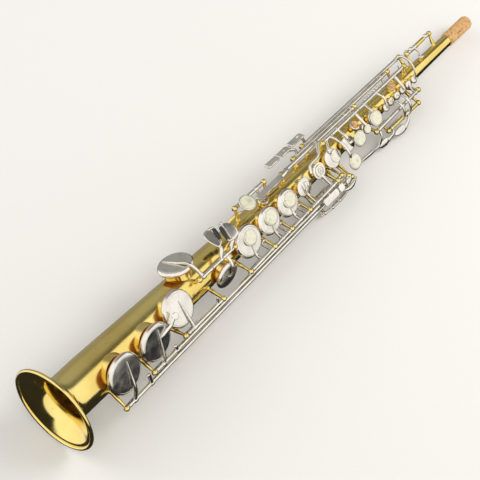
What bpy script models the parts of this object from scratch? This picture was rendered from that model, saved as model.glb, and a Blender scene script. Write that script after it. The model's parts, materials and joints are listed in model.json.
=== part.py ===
"""A straight soprano saxophone, resting on its bell rim, its thumb hook and its left-hand guard.

Shapes are made in millimetres, and finish() turns each one into metres. Inside the instrument +X
runs from the bell's mouth to the cork, an angle is counted from the front of the tube towards the
player's right, and a radius is counted from the tube's axis. The empty "instrument" then lays the
whole thing on the floor.
"""

import math

import bmesh
import bpy
from mathutils import Matrix, Vector

MM = 0.001

# Driving dimensions.
TOTAL_LENGTH = 660.0
BELL_RADIUS = 45.0
BELL_LENGTH = 46.0
TUBE_END = 655.0
CORK_START = 620.0
CORK_RADIUS = 7.7
WALL = 0.9
TAPER = ((46.0, 22.1), (230.0, 16.0), (570.0, 7.3), (620.0, 6.4), (TUBE_END, 6.2))
LAP = 4.0
GAP = 0.3

# How the instrument lies: its front turns away from straight up, and its cork end drops.
ROLL = 25.1
PITCH = 2.58

# Keywork.
HINGE_TUBE = 1.9
HINGE_BORE = 1.35
HINGE_ROD = 0.95
ROD_SIDES = 7
POST_SHANK = 1.5
POST_HEAD = 2.7
HEAD_WIDTH = 4.4
PAD_THICKNESS = 3.0
PAD_PROUD = 0.9
CUP_WALL = 0.9
OVERCUT = 3.0
TUBE_SIDES = 20
CHIMNEY_WALL = 0.8
RIB_THICKNESS = 1.0
PEARL_RADIUS = 6.7
PEARL_THICKNESS = 1.6

# Tone holes: place along the tube, angle, radius of the rim's plane, bore, radius of the key's cup.
HOLES = {
    "low_Bb": (62.0, -37.0, 24.6, 15.2, 20.0),
    "low_B": (106.0, -39.0, 23.2, 14.8, 19.0),
    "low_C": (143.5, -22.0, 21.9, 13.6, 18.2),
    "low_Csharp": (178.0, 56.0, 20.4, 12.2, 17.6),
    "Eb": (214.0, -60.0, 19.2, 10.4, 14.2),
    "D": (250.0, -27.0, 18.2, 11.4, 16.6),
    "E": (283.0, -27.0, 17.2, 9.8, 14.3),
    "F": (313.0, -28.0, 16.4, 9.4, 14.1),
    "Fsharp": (341.5, -31.0, 15.6, 7.2, 10.0),
    "Gsharp": (369.0, -27.0, 14.8, 6.2, 8.7),
    "G": (390.0, -26.0, 14.2, 7.2, 10.0),
    "A": (418.0, -29.0, 13.3, 6.0, 8.5),
    "bis": (448.0, -33.0, 12.3, 3.4, 5.3),
    "B": (465.0, -29.0, 12.0, 5.6, 8.2),
    "upper_C": (487.0, -35.0, 11.2, 3.0, 4.6),
    "palm_D": (498.4, -33.0, 10.9, 3.0, 4.6),
    "palm_Eb": (509.6, -33.0, 10.7, 3.0, 4.6),
    "front_F": (520.4, -33.0, 10.4, 2.9, 4.6),
    "palm_F": (531.2, -33.0, 10.1, 2.8, 4.5),
    "high_E": (542.0, -33.0, 9.9, 2.8, 4.5),
    "side_Bb": (439.5, 5.0, 12.9, 3.7, 5.4),
    "side_C": (511.0, 20.0, 10.8, 2.8, 4.2),
    "Fsharp_trill": (297.0, 30.0, 16.4, 3.9, 5.4),
    "body_octave": (505.0, 172.0, 11.6, 1.2, 3.0),
    "neck_octave": (571.0, 35.0, 9.6, 1.2, 3.0),
}

# Hinge lines: two points that each runs through, in the instrument's frame.
LINES = {
    "low_Bb": ((52.0, -42.4, 1.0), (401.0, -34.0, 3.4)),
    "low_B": ((93.0, -36.8, 6.5), (395.6, -31.2, 8.2)),
    "low_C": ((136.0, -32.6, 16.0), (190.6, -32.1, 16.0)),
    "right_pinky": ((180.0, -4.6, 26.0), (232.0, -4.6, 25.0)),
    "lower_stack": ((231.3, -31.6, 17.0), (377.6, -27.1, 14.0)),
    "left_pinky": ((348.4, -26.0, 6.0), (391.2, -26.0, 6.0)),
    "upper_stack": ((392.0, 10.0, 18.0), (539.6, 11.0, 14.6)),
    "side_Bb": ((333.0, 15.2, 14.5), (456.0, 15.2, 14.0)),
    "side_C": ((359.0, 18.4, 10.0), (522.0, 18.4, 9.6)),
    "high_E": ((381.0, 21.6, 4.5), (551.5, 21.6, 4.5)),
    "trill": ((264.5, 21.5, 19.0), (309.0, 21.5, 19.0)),
    "palm_outer": ((456.0, -18.9, 12.0), (534.0, -17.0, 12.0)),
    "palm_inner": ((474.0, -26.8, 5.0), (528.0, -27.0, 5.0)),
    "neck_octave": ((557.5, 18.2, 10.0), (599.5, 18.2, 10.0)),
    "octave_lever": ((443.0, 10.9, -13.0), (555.0, 10.0, -12.0)),
    "body_octave": ((490.0, -5.0, -14.5), (520.0, -5.0, -14.0)),
}

MATERIALS = {
    "brass": ((0.78, 0.55, 0.20), 1.0, 0.16),
    "nickel": ((0.80, 0.78, 0.72), 1.0, 0.14),
    "pearl": ((0.86, 0.87, 0.78), 0.0, 0.18),
    "pad": ((0.62, 0.33, 0.16), 0.0, 0.6),
    "cork": ((0.72, 0.50, 0.28), 0.0, 0.85),
}


# ---------------------------------------------------------------- geometry helpers


def clear_scene():
    for obj in list(bpy.data.objects):
        bpy.data.objects.remove(obj, do_unlink=True)


def make_materials():
    for name, (colour, metallic, roughness) in MATERIALS.items():
        material = bpy.data.materials.new(name)
        material.use_nodes = True
        shader = material.node_tree.nodes["Principled BSDF"]
        shader.inputs["Base Color"].default_value = (*colour, 1.0)
        shader.inputs["Metallic"].default_value = metallic
        shader.inputs["Roughness"].default_value = roughness


def tube_radius(x):
    """The tube's outside radius, between the stations of its taper."""
    if x <= TAPER[0][0]:
        return TAPER[0][1]
    for (x0, r0), (x1, r1) in zip(TAPER, TAPER[1:]):
        if x <= x1:
            return r0 + (r1 - r0) * (x - x0) / (x1 - x0)
    return TAPER[-1][1]


def outward(angle):
    a = math.radians(angle)
    return Vector((0.0, math.sin(a), math.cos(a)))


def sideways(angle):
    """Along the tube's surface, square to its axis, towards growing angles."""
    a = math.radians(angle)
    return Vector((0.0, math.cos(a), -math.sin(a)))


def at(x, angle, radius):
    return Vector((x, 0.0, 0.0)) + outward(angle) * radius


def offset(x, angle, height, side):
    """A point over the tone hole at x and angle: height along its axis, side across the tube."""
    return Vector((x, 0.0, 0.0)) + outward(angle) * height + sideways(angle) * side


def facing(origin, direction):
    """Places a shape made around +Z at origin, with +Z along direction."""
    turn = Vector(direction).to_track_quat("Z", "Y").to_matrix().to_4x4()
    return Matrix.Translation(Vector(origin)) @ turn


def plate_frame(origin, angle):
    """A plate's place: its length along the tube, its width across it, its face outward."""
    rows = Matrix((Vector((1, 0, 0)), sideways(angle), outward(angle))).transposed()
    if rows.determinant() < 0:
        rows = Matrix((Vector((-1, 0, 0)), sideways(angle), outward(angle))).transposed()
    return Matrix.Translation(Vector(origin)) @ rows.to_4x4()


def link(obj):
    bpy.context.scene.collection.objects.link(obj)
    return obj


def from_bmesh(shape, matrix):
    mesh = bpy.data.meshes.new("shape")
    shape.to_mesh(mesh)
    shape.free()
    mesh.transform(matrix)
    return link(bpy.data.objects.new("shape", mesh))


def bake(obj):
    """The object's evaluated mesh as a plain object in the instrument's frame."""
    bpy.context.view_layer.update()
    graph = bpy.context.evaluated_depsgraph_get()
    mesh = bpy.data.meshes.new_from_object(obj.evaluated_get(graph))
    mesh.transform(obj.matrix_world)
    shape = bmesh.new()
    shape.from_mesh(mesh)
    bmesh.ops.remove_doubles(shape, verts=shape.verts, dist=0.0001)
    shape.to_mesh(mesh)
    shape.free()
    bpy.data.objects.remove(obj)
    return link(bpy.data.objects.new("baked", mesh))


def cylinder(start, end, radius, sides=ROD_SIDES, end_radius=None):
    start, end = Vector(start), Vector(end)
    shape = bmesh.new()
    top = radius if end_radius is None else end_radius
    depth = (end - start).length
    bmesh.ops.create_cone(
        shape, cap_ends=True, segments=sides, radius1=radius, radius2=top, depth=depth
    )
    return from_bmesh(shape, facing((start + end) / 2, end - start))


def turned(profile, origin, direction, sides):
    """A closed profile of (radius, height) points turned about direction with a Screw modifier."""
    mesh = bpy.data.meshes.new("profile")
    points = [(radius, 0.0, height) for radius, height in profile]
    closed = profile[0][0] > 0 or profile[-1][0] > 0
    count = len(points)
    edges = [(i, (i + 1) % count) for i in range(count if closed else count - 1)]
    mesh.from_pydata(points, edges, [])
    obj = link(bpy.data.objects.new("turned", mesh))
    obj.matrix_world = facing(origin, direction)
    screw = obj.modifiers.new("Screw", "SCREW")
    screw.axis = "Z"
    screw.steps = screw.render_steps = sides
    screw.use_merge_vertices = True
    screw.merge_threshold = 0.0001
    screw.use_smooth_shade = False
    return bake(obj)


def rod(points, radii, resolution=1):
    """A bar through points, round in section, with its own radius at each point."""
    curve = bpy.data.curves.new("rod", "CURVE")
    curve.dimensions = "3D"
    curve.bevel_depth = 1.0
    curve.bevel_resolution = resolution
    curve.use_fill_caps = True
    spline = curve.splines.new("POLY")
    spline.points.add(len(points) - 1)
    if not hasattr(radii, "__len__"):
        radii = [radii] * len(points)
    for item, point, radius in zip(spline.points, points, radii):
        item.co = (*Vector(point), 1.0)
        item.radius = radius
    return bake(link(bpy.data.objects.new("rod", curve)))


def rounded_outline(length, width, corner, steps=2):
    """A rectangle with round corners, as points in order round it."""
    points = []
    for quarter, (sx, sy) in enumerate(((1, 1), (-1, 1), (-1, -1), (1, -1))):
        cx, cy = sx * (length / 2 - corner), sy * (width / 2 - corner)
        for step in range(steps + 1):
            turn = math.radians(90 * (quarter + step / steps))
            points.append((cx + corner * math.cos(turn), cy + corner * math.sin(turn)))
    return points


def plate(outline, thickness, matrix):
    """A flat plate cut to outline, made as a filled 2D curve."""
    curve = bpy.data.curves.new("plate", "CURVE")
    curve.dimensions = "2D"
    curve.fill_mode = "BOTH"
    curve.extrude = thickness / 2
    spline = curve.splines.new("POLY")
    spline.points.add(len(outline) - 1)
    spline.use_cyclic_u = True
    for item, (x, y) in zip(spline.points, outline):
        item.co = (x, y, 0.0, 1.0)
    obj = link(bpy.data.objects.new("plate", curve))
    obj.matrix_world = matrix
    return bake(obj)


def combine(base, others, operation):
    """Joins or cuts base with each other solid in turn, and removes them."""
    for other in others:
        boolean = base.modifiers.new("Boolean", "BOOLEAN")
        boolean.operation = operation
        boolean.solver = "EXACT"
        boolean.object = other
    result = bake(base)
    for other in others:
        bpy.data.objects.remove(other)
    return result


# ---------------------------------------------------------------- parts of the keywork


def line_point(line, x):
    """The point of a hinge line at x."""
    start, end = (Vector(point) for point in LINES[line])
    return start.lerp(end, (x - start.x) / (end.x - start.x))


def make_hinge(name, line, x, opening=0.0):
    """An empty on a hinge line, its +X along it. It stands turned by opening degrees."""
    start, end = (Vector(point) for point in LINES[line])
    along = (end - start).normalized()
    up = Vector((0, 0, 1))
    side = up.cross(along).normalized()
    rows = Matrix((along, side, along.cross(side))).transposed().to_4x4()
    closed = Matrix.Translation(line_point(line, x)) @ rows
    empty = link(bpy.data.objects.new("hinge_" + name, None))
    empty.parent = bpy.data.objects["instrument"]
    in_metres = Matrix.Translation(line_point(line, x) * MM) @ rows
    empty.matrix_local = in_metres @ Matrix.Rotation(math.radians(opening), 4, "X")
    return empty, closed


def finish(obj, name, material, hinge=None):
    """Names a piece, gives it its material and hangs it on its hinge or on the instrument."""
    obj.name = obj.data.name = name
    obj.data.materials.clear()
    obj.data.materials.append(bpy.data.materials[material])
    if hinge:
        empty, closed = hinge
        obj.data.transform(closed.inverted())
        obj.parent = empty
    else:
        obj.parent = bpy.data.objects["instrument"]
    obj.data.transform(Matrix.Scale(MM, 4))
    obj.data.shade_smooth()
    obj.data.set_sharp_from_angle(angle=math.radians(35))
    for collection in list(obj.users_collection):
        collection.objects.unlink(obj)
    bpy.data.collections["soprano_saxophone"].objects.link(obj)
    return obj


def fused(name, material, pieces, cuts=(), hinge=None):
    solid = combine(pieces[0], list(pieces[1:]), "UNION")
    solid = combine(solid, list(cuts), "DIFFERENCE")
    return finish(solid, name, material, hinge)


def hinge_tube(line, x0, x1, radius=HINGE_TUBE):
    return cylinder(line_point(line, x0), line_point(line, x1), radius)


def hinge_bore(line, x0, x1):
    """A cutter that runs past both ends of the tube that it bores."""
    return cylinder(line_point(line, x0 - 1), line_point(line, x1 + 1), HINGE_BORE)


def cup(hole, sides, hollow=True):
    """A key cup closed over its tone hole, with its skirt and the recess that holds its pad."""
    x, angle, rim, _, radius = HOLES[hole]
    bottom = PAD_PROUD if hollow else 0.0
    top = PAD_THICKNESS + GAP + CUP_WALL if hollow else 2.4
    edge = 1.4 if hollow else 0.8
    profile = [(0, top), (radius - edge, top), (radius, top - edge), (radius, bottom)]
    if hollow:
        inner = radius - CUP_WALL
        roof = PAD_THICKNESS + GAP
        profile += [(inner, bottom), (inner, roof), (0, roof)]
    else:
        profile += [(0, bottom)]
    return turned(profile, at(x, angle, rim + GAP), outward(angle), sides)


def pad(hole, sides, hinge):
    x, angle, rim, _, radius = HOLES[hole]
    inner = radius - CUP_WALL - GAP
    base = at(x, angle, rim + GAP)
    profile = [(0, PAD_THICKNESS), (inner, PAD_THICKNESS), (inner, 0.5), (inner - 0.5, 0), (0, 0)]
    finish(turned(profile, base, outward(angle), sides), hole + "_pad", "pad", hinge)


def cup_top(hole, hollow=True):
    """The radius, from the tube's axis, of the top of a closed cup."""
    return HOLES[hole][2] + GAP + (PAD_THICKNESS + GAP + CUP_WALL if hollow else 2.4)


def disc_at(centre, normal, radius, thickness, sides=12):
    profile = [(0, thickness), (radius, thickness), (radius, 0), (0, 0)]
    return turned(profile, centre, normal, sides)


def disc(x, angle, height, radius, thickness, sides=12):
    return disc_at(at(x, angle, height), outward(angle), radius, thickness, sides)


def touch_plate(x, angle, height, length, width, thickness=1.4, corner=2.0):
    outline = rounded_outline(length, width, corner)
    return plate(outline, thickness, plate_frame(at(x, angle, height), angle))


def palm_lever(stem, root, tip, width):
    """A palm key's lever: a bent stem that swells into a long leaf between root and tip."""
    root, tip = Vector(root), Vector(tip)
    stops = ((0.12, 0.6), (0.35, 0.95), (0.6, 1.0), (0.85, 0.75), (1.0, 0.4))
    points = list(stem) + [root.lerp(tip, part) for part, _ in stops]
    return rod(points, [1.4] * len(stem) + [width * share for _, share in stops])


def rib(angle, x0, x1, width):
    """A strip soldered along the tube, its underside a gap above the brass."""
    low = at(x0, angle, tube_radius(x0) + GAP + RIB_THICKNESS / 2)
    high = at(x1, angle, tube_radius(x1) + GAP + RIB_THICKNESS / 2)
    shape = bmesh.new()
    bmesh.ops.create_cube(shape, size=1.0)
    bmesh.ops.scale(shape, vec=((high - low).length, width, RIB_THICKNESS), verts=shape.verts)
    along = (high - low).normalized()
    side = sideways(angle)
    if along.cross(side).dot(outward(angle)) < 0:
        side = -side
    rows = Matrix((along, side, along.cross(side))).transposed().to_4x4()
    return from_bmesh(shape, Matrix.Translation((low + high) / 2) @ rows)


def posts(name, angle, reach, width, heads, bored=()):
    """A rib with a post up to each hinge line that it carries, one solid."""
    pieces = [rib(angle, *reach, width)]
    cuts = []
    for line, x in heads:
        head = line_point(line, x)
        along = (line_point(line, x + 1) - head).normalized() * HEAD_WIDTH / 2
        seat = tube_radius(x) + GAP
        pieces.append(cylinder(at(x, angle, seat + 0.2), at(x, angle, seat + 2.8), 1.83, 7))
        pieces.append(cylinder(at(x, angle, seat + 2.0), head, POST_SHANK, 6, POST_SHANK * 0.8))
        pieces.append(cylinder(head - along, head + along, POST_HEAD))
        if line in bored:
            cuts.append(hinge_bore(line, x - HEAD_WIDTH, x + HEAD_WIDTH))
    return fused(name, "brass", pieces, cuts)


# ---------------------------------------------------------------- brass body


def make_body():
    """The conical tube with a chimney drawn up round every tone hole, bored after they are joined."""
    socket = TAPER[0][1] - WALL - GAP
    start = BELL_LENGTH - LAP
    outer = [(tube_radius(x), x) for x in (TUBE_END, 620.0, 570.0, 230.0, BELL_LENGTH + GAP)]
    outer += [(socket, BELL_LENGTH + GAP), (socket, start)]
    tube = turned([(0, TUBE_END)] + outer + [(0, start)], (0, 0, 0), (1, 0, 0), TUBE_SIDES)
    end = TAPER[-1][1] - WALL
    inner = [(0, TUBE_END + OVERCUT), (end, TUBE_END + OVERCUT), (end, TUBE_END)]
    inner += [(tube_radius(x) - WALL - GAP, x) for x in (570.0, 230.0)]
    inner += [(socket - WALL, start), (socket - WALL, start - OVERCUT), (0, start - OVERCUT)]
    cuts = [turned(inner, (0, 0, 0), (1, 0, 0), TUBE_SIDES)]
    chimneys = []
    for x, angle, rim, bore, _ in HOLES.values():
        sides = 12 if bore > 8 else 8 if bore > 3 else 6
        inside = tube_radius(x) - WALL - 0.2
        spread = math.sqrt(max(inside ** 2 - (bore + CHIMNEY_WALL) ** 2, 1.0))
        chimneys.append(
            cylinder(at(x, angle, spread), at(x, angle, rim), bore + CHIMNEY_WALL, sides)
        )
        cuts.append(cylinder(at(x, angle, 1.0), at(x, angle, rim + 2), bore, sides))
    fused("body_tube", "brass", [tube] + chimneys, cuts)


def make_bell():
    """The flare, thin-walled, with a wire rolled into its rim and a socket for the tube."""
    throat = TAPER[0][1]
    reach = 24.0
    flare = [
        (throat + 0.8 + (BELL_RADIUS - throat - 1.6) * (1 - x / reach) ** 3, x)
        for x in (1.4, 3.0, 6.0, 11.0, 24.0)
    ]
    rim = [
        (BELL_RADIUS - 1.5 + 1.5 * math.cos(turn), 1.5 + 1.5 * math.sin(turn))
        for turn in (math.radians(step) for step in (90, 0, -90, 180))
    ]
    outer = [(throat, BELL_LENGTH)] + [(radius, x) for radius, x in reversed(flare[1:])]
    inner = [(radius - WALL, x) for radius, x in flare[1:]]
    socket = throat - WALL + 0.1
    inner += [(socket, BELL_LENGTH - LAP - GAP), (socket, BELL_LENGTH)]
    fused("bell", "brass", [turned(outer + rim + inner, (0, 0, 0), (1, 0, 0), 28)])


def make_cork():
    bore = TAPER[-1][1] + 0.25 + GAP
    profile = [
        (bore, TOTAL_LENGTH), (CORK_RADIUS - 0.6, TOTAL_LENGTH), (CORK_RADIUS, TOTAL_LENGTH - 1.5),
        (CORK_RADIUS, CORK_START), (bore, CORK_START),
    ]
    fused("neck_cork", "cork", [turned(profile, (0, 0, 0), (1, 0, 0), 18)])


def make_fittings():
    """What is soldered on the back: thumb hook, thumb rest and the ring for a strap."""
    hook_angle = 155.0
    base = touch_plate(289, hook_angle, tube_radius(274) + GAP + 0.8, 30, 8)
    root = tube_radius(274) + 1.1
    hook = rod(
        [at(300, hook_angle, root), at(299, hook_angle, 26), at(294, hook_angle, 34),
         at(286, hook_angle + 4, 39.2), at(279, hook_angle + 12, 39.0)],
        [2.6, 2.4, 2.4, 2.4, 2.0], 2,
    )
    fused("thumb_hook", "brass", [base, hook])

    rest = touch_plate(428, 180, tube_radius(428) + GAP + 0.6, 16, 7, 1.2)
    button = disc(428, 180, tube_radius(428) + 0.9, 6.5, 3.4)
    fused("thumb_rest", "brass", [rest, button])

    ring_x = 340.0
    seat = tube_radius(ring_x) + GAP
    foot = touch_plate(ring_x, 180, seat + 0.7, 18, 7)
    loop = turned(
        [(4.6, 1.2), (7.0, 1.2), (7.0, -1.2), (4.6, -1.2)],
        at(ring_x, 180, seat + 7.2), (0, 1, 0), 16,
    )
    fused("strap_ring", "brass", [foot, loop])

    foot = rib(-144.0, 344, 402, 4)
    bar = [(350, -41.2, -8.5), (366, -43.0, -9.2), (388, -42.5, -8.8), (402, -38.4, -6.4)]
    pieces = [foot, rod(bar, [1.2, 1.5, 1.7, 2.2], 2)]
    for x, tip in ((356.0, (356.0, -41.9, -8.8)), (396.0, (396.0, -40.2, -7.4))):
        root = at(x, -144, tube_radius(x) + 2.0)
        pieces.append(rod([root, at(x, -119, 28), tip], 1.6, 0))
    fused("pinky_guard", "brass", pieces)


def make_posts():
    posts("bell_key_posts", -102, (48, 98), 5, [("low_Bb", 52), ("low_B", 93)])
    posts("low_C_posts", -88, (132, 195), 5, [("low_C", 136), ("low_C", 190.6)])
    posts("right_pinky_posts", -10, (176, 236), 4, [("right_pinky", 180), ("right_pinky", 232)])
    stack = [("lower_stack", x) for x in (231.3, 270.2, 298.3, 329.1, 377.6)]
    posts("lower_stack_posts", -92, (228, 382), 4, stack, ("lower_stack",))
    table = [("left_pinky", 348.4), ("left_pinky", 391.2), ("low_B", 395.6), ("low_Bb", 401)]
    posts("left_pinky_posts", -117, (344, 405), 4, table)
    side = [("side_Bb", 333), ("side_C", 359), ("high_E", 381), ("upper_stack", 392)]
    side += [("side_Bb", 456), ("side_C", 522), ("upper_stack", 539.6), ("high_E", 551.5)]
    posts("side_key_posts", 95, (328, 553.4), 4, side, ("upper_stack",))
    palm = [("palm_outer", 456), ("palm_outer", 534), ("palm_inner", 474), ("palm_inner", 528)]
    posts("palm_key_posts", -105, (452, 538), 4, palm)
    posts("trill_posts", 108, (260, 313), 5, [("trill", 264.5), ("trill", 309)])
    posts("neck_octave_posts", 84, (555.6, 603), 3.5, [("neck_octave", x) for x in (557.5, 599.5)])
    lever = [("octave_lever", 443), ("octave_lever", 555)]
    posts("octave_lever_posts", 140, (439, 559), 3.5, lever)
    vent = [("body_octave", 490), ("body_octave", 520)]
    posts("body_octave_posts", -160, (486, 524), 3.5, vent)


# ---------------------------------------------------------------- keys


def low_key(name, opening, x0, x1, arm_x, extra):
    """A large closed cup on a long hinge tube. Two arms spread from the tube to the cup."""
    x, angle, _, _, radius = HOLES[name]
    hinge = make_hinge(name + "_key", name if name in LINES else "right_pinky", x0, opening)
    line = name if name in LINES else "right_pinky"
    top = cup_top(name) + 0.7
    pieces = [cup(name, 16), hinge_tube(line, x0, x1)]
    side = -1 if line_point(line, x).y < at(x, angle, top).y else 1
    edge = at(x, angle, top) + sideways(angle) * side * (radius - 1.2)
    for lean in arm_x:
        root = line_point(line, lean)
        rim = Vector((x + (lean - x) * 0.55, edge.y, edge.z))
        pieces.append(rod([root, rim, at(x + (lean - x) * 0.1, angle, top)], [1.5, 1.3, 1.2]))
    pieces += extra
    fused(name + "_key", "nickel", pieces, (), hinge)
    pad(name, 16, hinge)
    return hinge


def make_bell_keys():
    leaf = [(386, -36.5, 8.5), (392, -39.5, 7.5), (401, -38.5, 6.5)]
    stem = rod([line_point("low_Bb", 389), (389, -37.5, 6.5)], 1.4)
    touch = rod(leaf, [1.6, 2.6, 1.8], 2)
    low_key("low_Bb", 6.5, 54.8, 398.2, (68.0, 56.5), [stem, touch])

    stem = rod([line_point("low_B", 389), (389, -33.4, 13.2)], 1.3)
    touch = plate(rounded_outline(9, 5.5, 1.6), 1.3, plate_frame((388.5, -34.0, 13.4), -30))
    link = rod(
        [at(113, -36, cup_top("low_B") + 0.4), at(120, -36, cup_top("low_B") + 1.2),
         at(126, -29, cup_top("low_C") + 6.4), at(132, -23, cup_top("low_C") + 6.4)],
        [1.4, 1.4, 1.4, 2.2], 2,
    )
    low_key("low_B", 6.5, 95.8, 392.8, (116.0, 99.0), [stem, touch, link])

    tail = rod([line_point("low_C", 183), line_point("low_C", 183) + Vector((0, 5, 5))], 1.2)
    low_key("low_C", 6.0, 138.8, 187.8, (152.0, 145.0), [tail])


def make_right_pinky():
    low_key("low_Csharp", 7.0, 183.0, 198.0, (185.0,), [])

    hinge = make_hinge("Eb_key", "right_pinky", 214)
    top = cup_top("Eb") + 0.6
    arm = rod(
        [line_point("right_pinky", 219), offset(218, -60, top + 0.6, 12.6), at(214, -60, top)],
        [1.4, 1.3, 1.1],
    )
    plate_arm = rod([line_point("right_pinky", 226.5), (229, 4, 29.2), (233, 8, 30.0)], 1.3)
    touch = touch_plate(235, 22, 32.6, 15, 17)
    pieces = [cup("Eb", 14), hinge_tube("right_pinky", 214.0, 229.2), arm, plate_arm, touch]
    fused("Eb_key", "nickel", pieces, (), hinge)
    pad("Eb", 14, hinge)

    hinge = make_hinge("low_C_touch", "right_pinky", 199)
    plate_arm = rod([line_point("right_pinky", 209), (214, 5, 29.0), (219, 14, 28.6)], 1.3)
    touch = touch_plate(219.5, 34, 32.0, 14, 17)
    pieces = [hinge_tube("right_pinky", 198.6, 213.4), plate_arm, touch]
    fused("low_C_touch", "nickel", pieces, (), hinge)


def pearl(name, x, angle, height, hinge):
    button = disc(x, angle, height + 1.2 + GAP, PEARL_RADIUS, PEARL_THICKNESS)
    finish(button, name + "_pearl", "pearl", hinge)


def stack_key(hole, opening, x0, x1, sides, extra=(), hollow=True, line="lower_stack"):
    """A cup on a bored hinge tube, which turns on the stack's rod."""
    x, angle, _, _, radius = HOLES[hole]
    hinge = make_hinge(hole + "_key", line, x0, opening)
    top = cup_top(hole, hollow) + 0.5
    root = line_point(line, min(max(x, x0 + 3.6), x1 - 2))
    side = 1 if root.y > 0 else -1
    edge = at(x, angle, top + 0.4) + sideways(angle) * side * (radius - 1.0)
    arm = rod([root, edge, at(x, angle, top)], [1.5, 1.3, 1.1])
    pieces = [cup(hole, sides, hollow), hinge_tube(line, x0, x1), arm, *extra]
    fused(hole + "_key", "nickel", pieces, [hinge_bore(line, x0, x1)], hinge)
    if hollow:
        pad(hole, sides, hinge)
    return hinge


def make_lower_stack():
    spans = {"D": (234.0, 267.6), "E": (272.8, 295.7), "F": (300.9, 326.5)}
    for hole, (x0, x1) in spans.items():
        x, angle, *_ = HOLES[hole]
        seat = cup_top(hole) - 0.4
        holder = disc(x, angle + 7, seat + 0.4, PEARL_RADIUS + 0.8, 1.8)
        hinge = stack_key(hole, 5.5, x0, x1, 14, [holder])
        pearl(hole, x, angle + 7, seat + 1.0, hinge)
    stack_key("Fsharp", 5.0, 332.0, 349.0, 12, hollow=False)
    stack_key("Gsharp", 0.0, 349.6, 374.6, 12, hollow=False)
    ends = [line_point("lower_stack", x) for x in (228.8, 380.0)]
    finish(cylinder(*ends, HINGE_ROD), "lower_stack_rod", "nickel")


def make_upper_stack():
    line = "upper_stack"
    over = [
        line_point(line, 404.6), (404.6, 2, 22.6), (404.8, -14, 21.5), (405.4, -18.5, 17.5),
        (406.5, -20.5, 14.0),
    ]
    arm = rod(over, [1.3, 1.2, 1.2, 1.2, 1.2])
    holder = disc_at((409.0, -24.4, 10.6), outward(-35), PEARL_RADIUS + 0.8, 1.8)
    stack_key("G", -5.0, 394.8, 407.6, 12, [arm, holder], False, line)
    holder = disc(430, -36, 19.5, PEARL_RADIUS + 1.0, 1.6)
    bridge = rod([at(419, -30, cup_top("A", False) - 0.4), at(428, -35, 19.9)], 1.8)
    stack_key("A", -5.0, 408.2, 439.6, 12, [bridge, holder], False, line)
    stack_key("bis", -5.0, 440.2, 454.6, 12, (), False, line)
    vent = rod(
        [line_point(line, 487), (487, 2, 19.0), at(487, -35, cup_top("upper_C", False))],
        [1.4, 1.3, 1.0],
    )
    stack_key("B", -5.0, 455.2, 494.6, 12, [cup("upper_C", 8, False), vent], False, line)
    stack_key("front_F", 0.0, 495.2, 536.8, 8, (), False, line)
    ends = [line_point(line, x) for x in (389.6, 542.0)]
    finish(cylinder(*ends, HINGE_ROD), "upper_stack_rod", "nickel")


def make_side_keys():
    hinge = make_hinge("side_Bb_key", "side_Bb", 336)
    stem = rod([line_point("side_Bb", 340), (337, 14.8, 22.4), (322, 13.4, 23.2)], 1.4)
    bar = plate(rounded_outline(38, 6.5, 1.2), 1.5, plate_frame((307, 13.4, 23.4), 30))
    under = [line_point("side_Bb", 439.5), (439.5, 13.2, 10.8), (439.5, 8.5, 12.4), (439.5, 3, 14.6)]
    arm = rod(under, 1.2)
    tube = hinge_tube("side_Bb", 335.8, 453.2)
    pieces = [tube, stem, bar, arm, cup("side_Bb", 10, False)]
    fused("side_Bb_key", "nickel", pieces, (), hinge)

    hinge = make_hinge("side_C_key", "side_C", 362)
    stem = rod([line_point("side_C", 366), (365, 23, 14.5), (358, 27, 18.0), (351, 29, 19.6)], 1.4)
    bar = plate(rounded_outline(35, 8, 1.5), 1.5, plate_frame((339.5, 29.6, 20.2), 45))
    arm = rod([line_point("side_C", 511), (511, 14.5, 7.5), (511, 9.0, 10.4), (511, 5, 12.4)], 1.2)
    pieces = [hinge_tube("side_C", 361.8, 519.2), stem, bar, arm, cup("side_C", 8, False)]
    fused("side_C_key", "nickel", pieces, (), hinge)

    hinge = make_hinge("high_E_key", "high_E", 384)
    stem = rod([line_point("high_E", 387), (382, 29.5, 14.0), (376, 30.4, 19.6)], 1.4)
    bar = plate(rounded_outline(21, 8, 1.5), 1.5, plate_frame((368.8, 30.2, 20.4), 45))
    top = cup_top("high_E", False)
    over = [
        line_point("high_E", 546.3), (546.0, 20.5, 14.0), (544.5, 12.0, 20.5), (543.0, 1.0, 19.0),
        at(542, -33, top),
    ]
    arm = rod(over, [1.3, 1.2, 1.2, 1.2, 1.1])
    pieces = [hinge_tube("high_E", 383.8, 548.7), stem, bar, arm, cup("high_E", 8, False)]
    fused("high_E_key", "nickel", pieces, (), hinge)

    hinge = make_hinge("Fsharp_trill_key", "trill", 267)
    stem = rod([line_point("trill", 275), (275, 19.5, 24.6)], 1.5)
    holder = disc_at((275.3, 17.2, 24.6), outward(12), PEARL_RADIUS + 0.8, 1.8)
    arm = rod([line_point("trill", 297), (297, 15, 18.6), (297, 9.5, 17.6)], 1.4)
    tube = hinge_tube("trill", 267.3, 306.2)
    pieces = [tube, stem, holder, arm, cup("Fsharp_trill", 10, False)]
    fused("Fsharp_trill_key", "nickel", pieces, (), hinge)


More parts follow.
